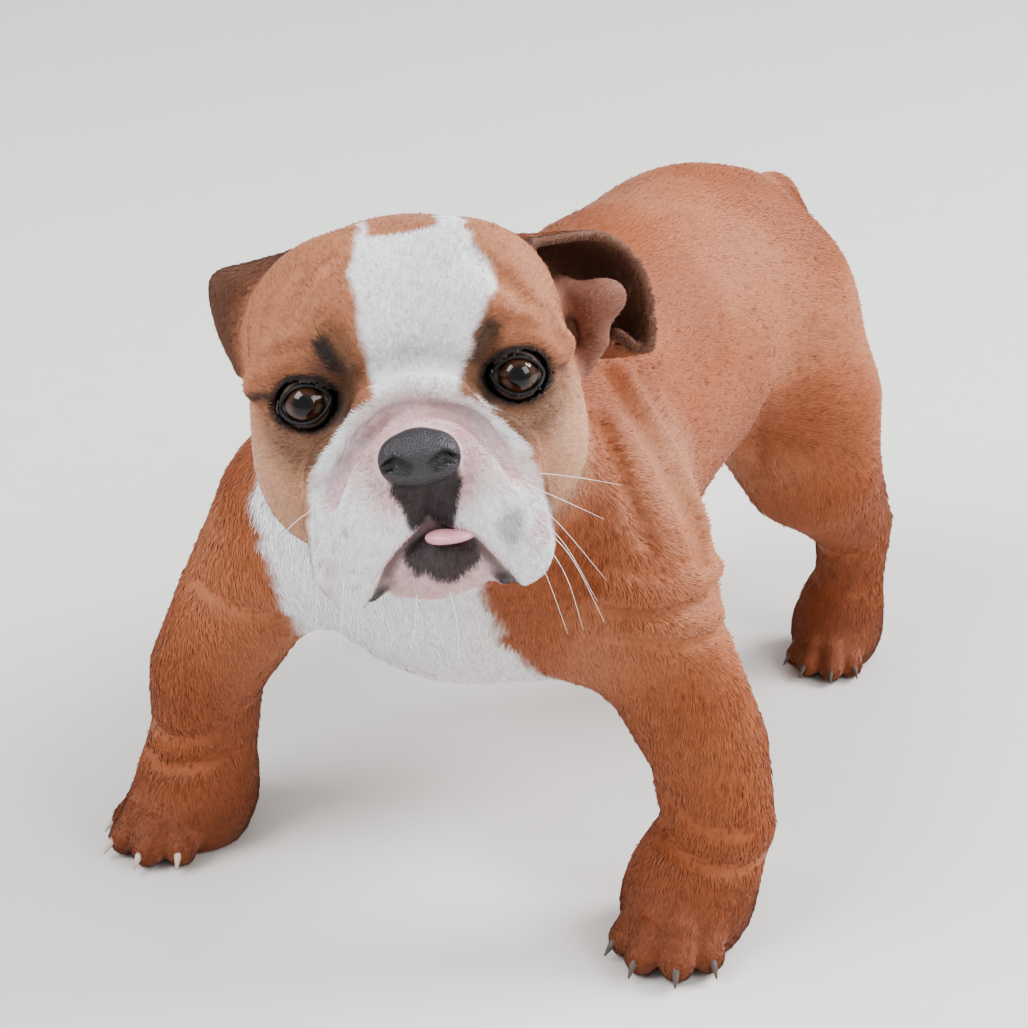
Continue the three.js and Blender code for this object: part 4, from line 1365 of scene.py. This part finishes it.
class PuppyCoat(bpy.types.Operator):
    """Lays the short tufts over the skin, in pieces by part of the body"""
    bl_idname = "puppy.coat"
    bl_label = "Coat"

    def execute(self, context):
        sizes = context.scene.puppy_sizes
        root, four, shades = tufts(SKIN["points"], SKIN["faces"], sizes, chosen_tones())
        piece_names = piece_of(root)
        material = look("short_coat")
        for name in COAT_PIECES:
            here = piece_names == name
            if not here.any():
                raise RuntimeError("no tufts fell on " + name)
            index = np.arange(here.sum())[:, None] * 4
            faces = np.concatenate([index + [0, 1, 2], index + [0, 2, 3]], 1).reshape(-1, 3)
            points, colours = four[here].reshape(-1, 3), shades[here].reshape(-1, 3)
            piece = add_piece(name, points, faces, colours, material)
            patch = np.array([[0, -0.0015], [-0.0015, 0], [0, 0.0015], [0.0015, 0]])
            at = (unwrapped(root[here], name)[:, None] + patch).reshape(-1, 2)
            layer = piece.data.uv_layers.new(name="OFBake")
            layer.data.foreach_set("uv", at[faces.ravel()].astype(np.float32).ravel())
        return {"FINISHED"}


class PuppyEyes(bpy.types.Operator):
    """Makes both eyes with pupil and iris, and the wet dark rims of their lids"""
    bl_idname = "puppy.eyes"
    bl_label = "Eyes and lids"

    def execute(self, context):
        tones = chosen_tones()
        eye, rim = look("wet_eye"), look("lid_rim")
        for s, name in ((1, "left"), (-1, "right")):
            points, faces, local = eyeball(s)
            colours = eye_colours(local, tones)
            add_piece("eyeball_" + name, from_head(points), faces, colours, eye, ["eye_" + name])
            points, faces = ring_tube(lid_route(s, 1.03, 48)[:-1], 0.75, 8)
            add_piece("lid_rim_" + name, from_head(points), faces, tones["black"] * 0.7, rim)
        return {"FINISHED"}


class PuppyNose(bpy.types.Operator):
    """Makes the nose leather with its nostrils, and the tip of the tongue"""
    bl_idname = "puppy.nose"
    bl_label = "Nose and tongue"

    def execute(self, context):
        tones = chosen_tones()
        points, faces = field_piece(nose_field, (-18, -74, -27), (18, -48, 1), 0.65)
        # Painted shade: the nostrils' hollows are darkened towards the pupil's black.
        inside = np.minimum(NOSTRILS[0](points), NOSTRILS[1](points))
        colours = mixed(tones["nose"], tones["pupil"], fade(inside, -0.2, 1.4))
        points = from_head(points)
        add_piece("nose_leather", points, faces, colours, nose_material(), ["nose"])
        points, faces = field_piece(TONGUE_TIP, (-6, -68, -50), (20, -48, -38), 0.8)
        points = from_head(points)
        add_piece("tongue_tip", points, faces, tones["tongue"], look("tongue"), ["tongue"])
        return {"FINISHED"}


class PuppyClaws(bpy.types.Operator):
    """Sets a curved claw on each toe"""
    bl_idname = "puppy.claws"
    bl_label = "Claws"

    def execute(self, context):
        tones = chosen_tones()
        points, faces, dark = claw_parts()
        points[:, 2] = np.maximum(points[:, 2], 0.3)
        colours = mixed(tones["claw_pale"], tones["claw_dark"], dark)
        add_piece("claws", points, faces, colours, look("claw_horn"))
        return {"FINISHED"}


class PuppyWhiskers(bpy.types.Operator):
    """Sets the fine whiskers on muzzle and chin"""
    bl_idname = "puppy.whiskers"
    bl_label = "Whiskers"

    def execute(self, context):
        root_radius = context.scene.puppy_sizes.whisker_width / 2
        routes = [from_head(smooth_route(stops, 7)) for stops in WHISKERS]
        parts = [swept(route, np.linspace(root_radius, 0.05, len(route)), 6) for route in routes]
        points, faces = joined(parts)
        add_piece("whiskers", points, faces, chosen_tones()["white"], look("whisker"))
        return {"FINISHED"}


class PuppyStage(bpy.types.Operator):
    """Sets the pale floor that sweeps up behind, the soft lights and the camera"""
    bl_idname = "puppy.stage"
    bl_label = "Floor, light and camera"

    def execute(self, context):
        scene = context.scene
        half_wide, bend_start, bend, top = 4.0, 2.2, 1.4, 4.5
        rows = [(t, 0.0) for t in np.linspace(-3.0, bend_start, 12)]
        for a in np.linspace(0, math.pi / 2, 24)[1:]:
            rows.append((bend_start + bend * math.sin(a), bend * (1 - math.cos(a))))
        rows.append((bend_start + bend, top))
        heading = math.radians(28)
        ahead = np.array([-math.sin(heading), math.cos(heading), 0])
        across = np.array([math.cos(heading), math.sin(heading), 0])
        points = [ahead * y + across * x + [0, 0, z] for y, z in rows for x in (-half_wide, half_wide)]
        faces = [[2 * i, 2 * i + 1, 2 * i + 3, 2 * i + 2] for i in range(len(rows) - 1)]
        mesh = bpy.data.meshes.new("floor")
        mesh.from_pydata([tuple(point) for point in points], [], faces)
        mesh.shade_smooth()
        mesh.materials.append(floor_material())
        floor = bpy.data.objects.new("floor", mesh)
        scene.collection.objects.link(floor)

        centre = placed([10, 60, 150])
        for name, away, power, size in (
            ("key_light", (-1.0, -1.5, 1.9), 44, 1.5),
            ("side_light", (1.9, -0.2, 1.3), 24, 1.3),
            ("back_light", (1.5, 1.5, 1.8), 62, 1.1),
        ):
            lamp = bpy.data.lights.new(name, "AREA")
            lamp.energy, lamp.size = power, size
            holder = bpy.data.objects.new(name, lamp)
            holder.location = centre + np.array(away)
            holder.rotation_euler = Vector(-np.array(away)).to_track_quat("-Z", "Y").to_euler()
            scene.collection.objects.link(holder)

        world = bpy.data.worlds.new("studio")
        world.use_nodes = True
        world.node_tree.nodes["Background"].inputs["Color"].default_value = (0.95, 0.97, 1.0, 1)
        world.node_tree.nodes["Background"].inputs["Strength"].default_value = 0.55
        scene.world = world

        camera = bpy.data.cameras.new("camera")
        camera.sensor_width = 36
        camera.lens = 36 * 2600 / 1028
        holder = bpy.data.objects.new("camera", camera)
        down = math.radians(25)
        look = ahead * math.cos(down) - np.array([0, 0, math.sin(down)])
        up = np.cross(across, look)
        axes = Matrix([list(row) for row in np.stack([across, up, -look], 1)]).to_4x4()
        axes.translation = Vector(placed([473.7, -837.6, 622]))
        holder.matrix_world = axes
        scene.collection.objects.link(holder)
        scene.camera = holder
        scene.view_settings.view_transform = "AgX"
        scene.view_settings.look = "AgX - Medium High Contrast"
        scene.view_settings.exposure = 0.28
        return {"FINISHED"}


PIECES = [PuppySkin, PuppyCoat, PuppyEyes, PuppyNose, PuppyClaws, PuppyWhiskers, PuppyStage]


class PuppyPanel(bpy.types.Panel):
    """Lists the puppy's pieces, sizes and colours"""
    bl_idname = "VIEW3D_PT_puppy"
    bl_label = "Bulldog puppy"
    bl_space_type = "VIEW_3D"
    bl_region_type = "UI"
    bl_category = "Puppy"

    def draw(self, context):
        for piece in PIECES:
            self.layout.operator(piece.bl_idname)
        for group in (context.scene.puppy_sizes, context.scene.puppy_tones):
            box = self.layout.box()
            for key in type(group).__annotations__:
                box.prop(group, key)


def register():
    for kind in [PuppySizes, PuppyTones, *PIECES, PuppyPanel]:
        bpy.utils.register_class(kind)
    bpy.types.Scene.puppy_sizes = bpy.props.PointerProperty(type=PuppySizes)
    bpy.types.Scene.puppy_tones = bpy.props.PointerProperty(type=PuppyTones)


def unregister():
    del bpy.types.Scene.puppy_tones
    del bpy.types.Scene.puppy_sizes
    for kind in [PuppyPanel, *PIECES[::-1], PuppyTones, PuppySizes]:
        bpy.utils.unregister_class(kind)


def main():
    register()
    for piece in PIECES:
        group, name = piece.bl_idname.split(".")
        getattr(getattr(bpy.ops, group), name)()


if __name__ == "__main__":
    main()
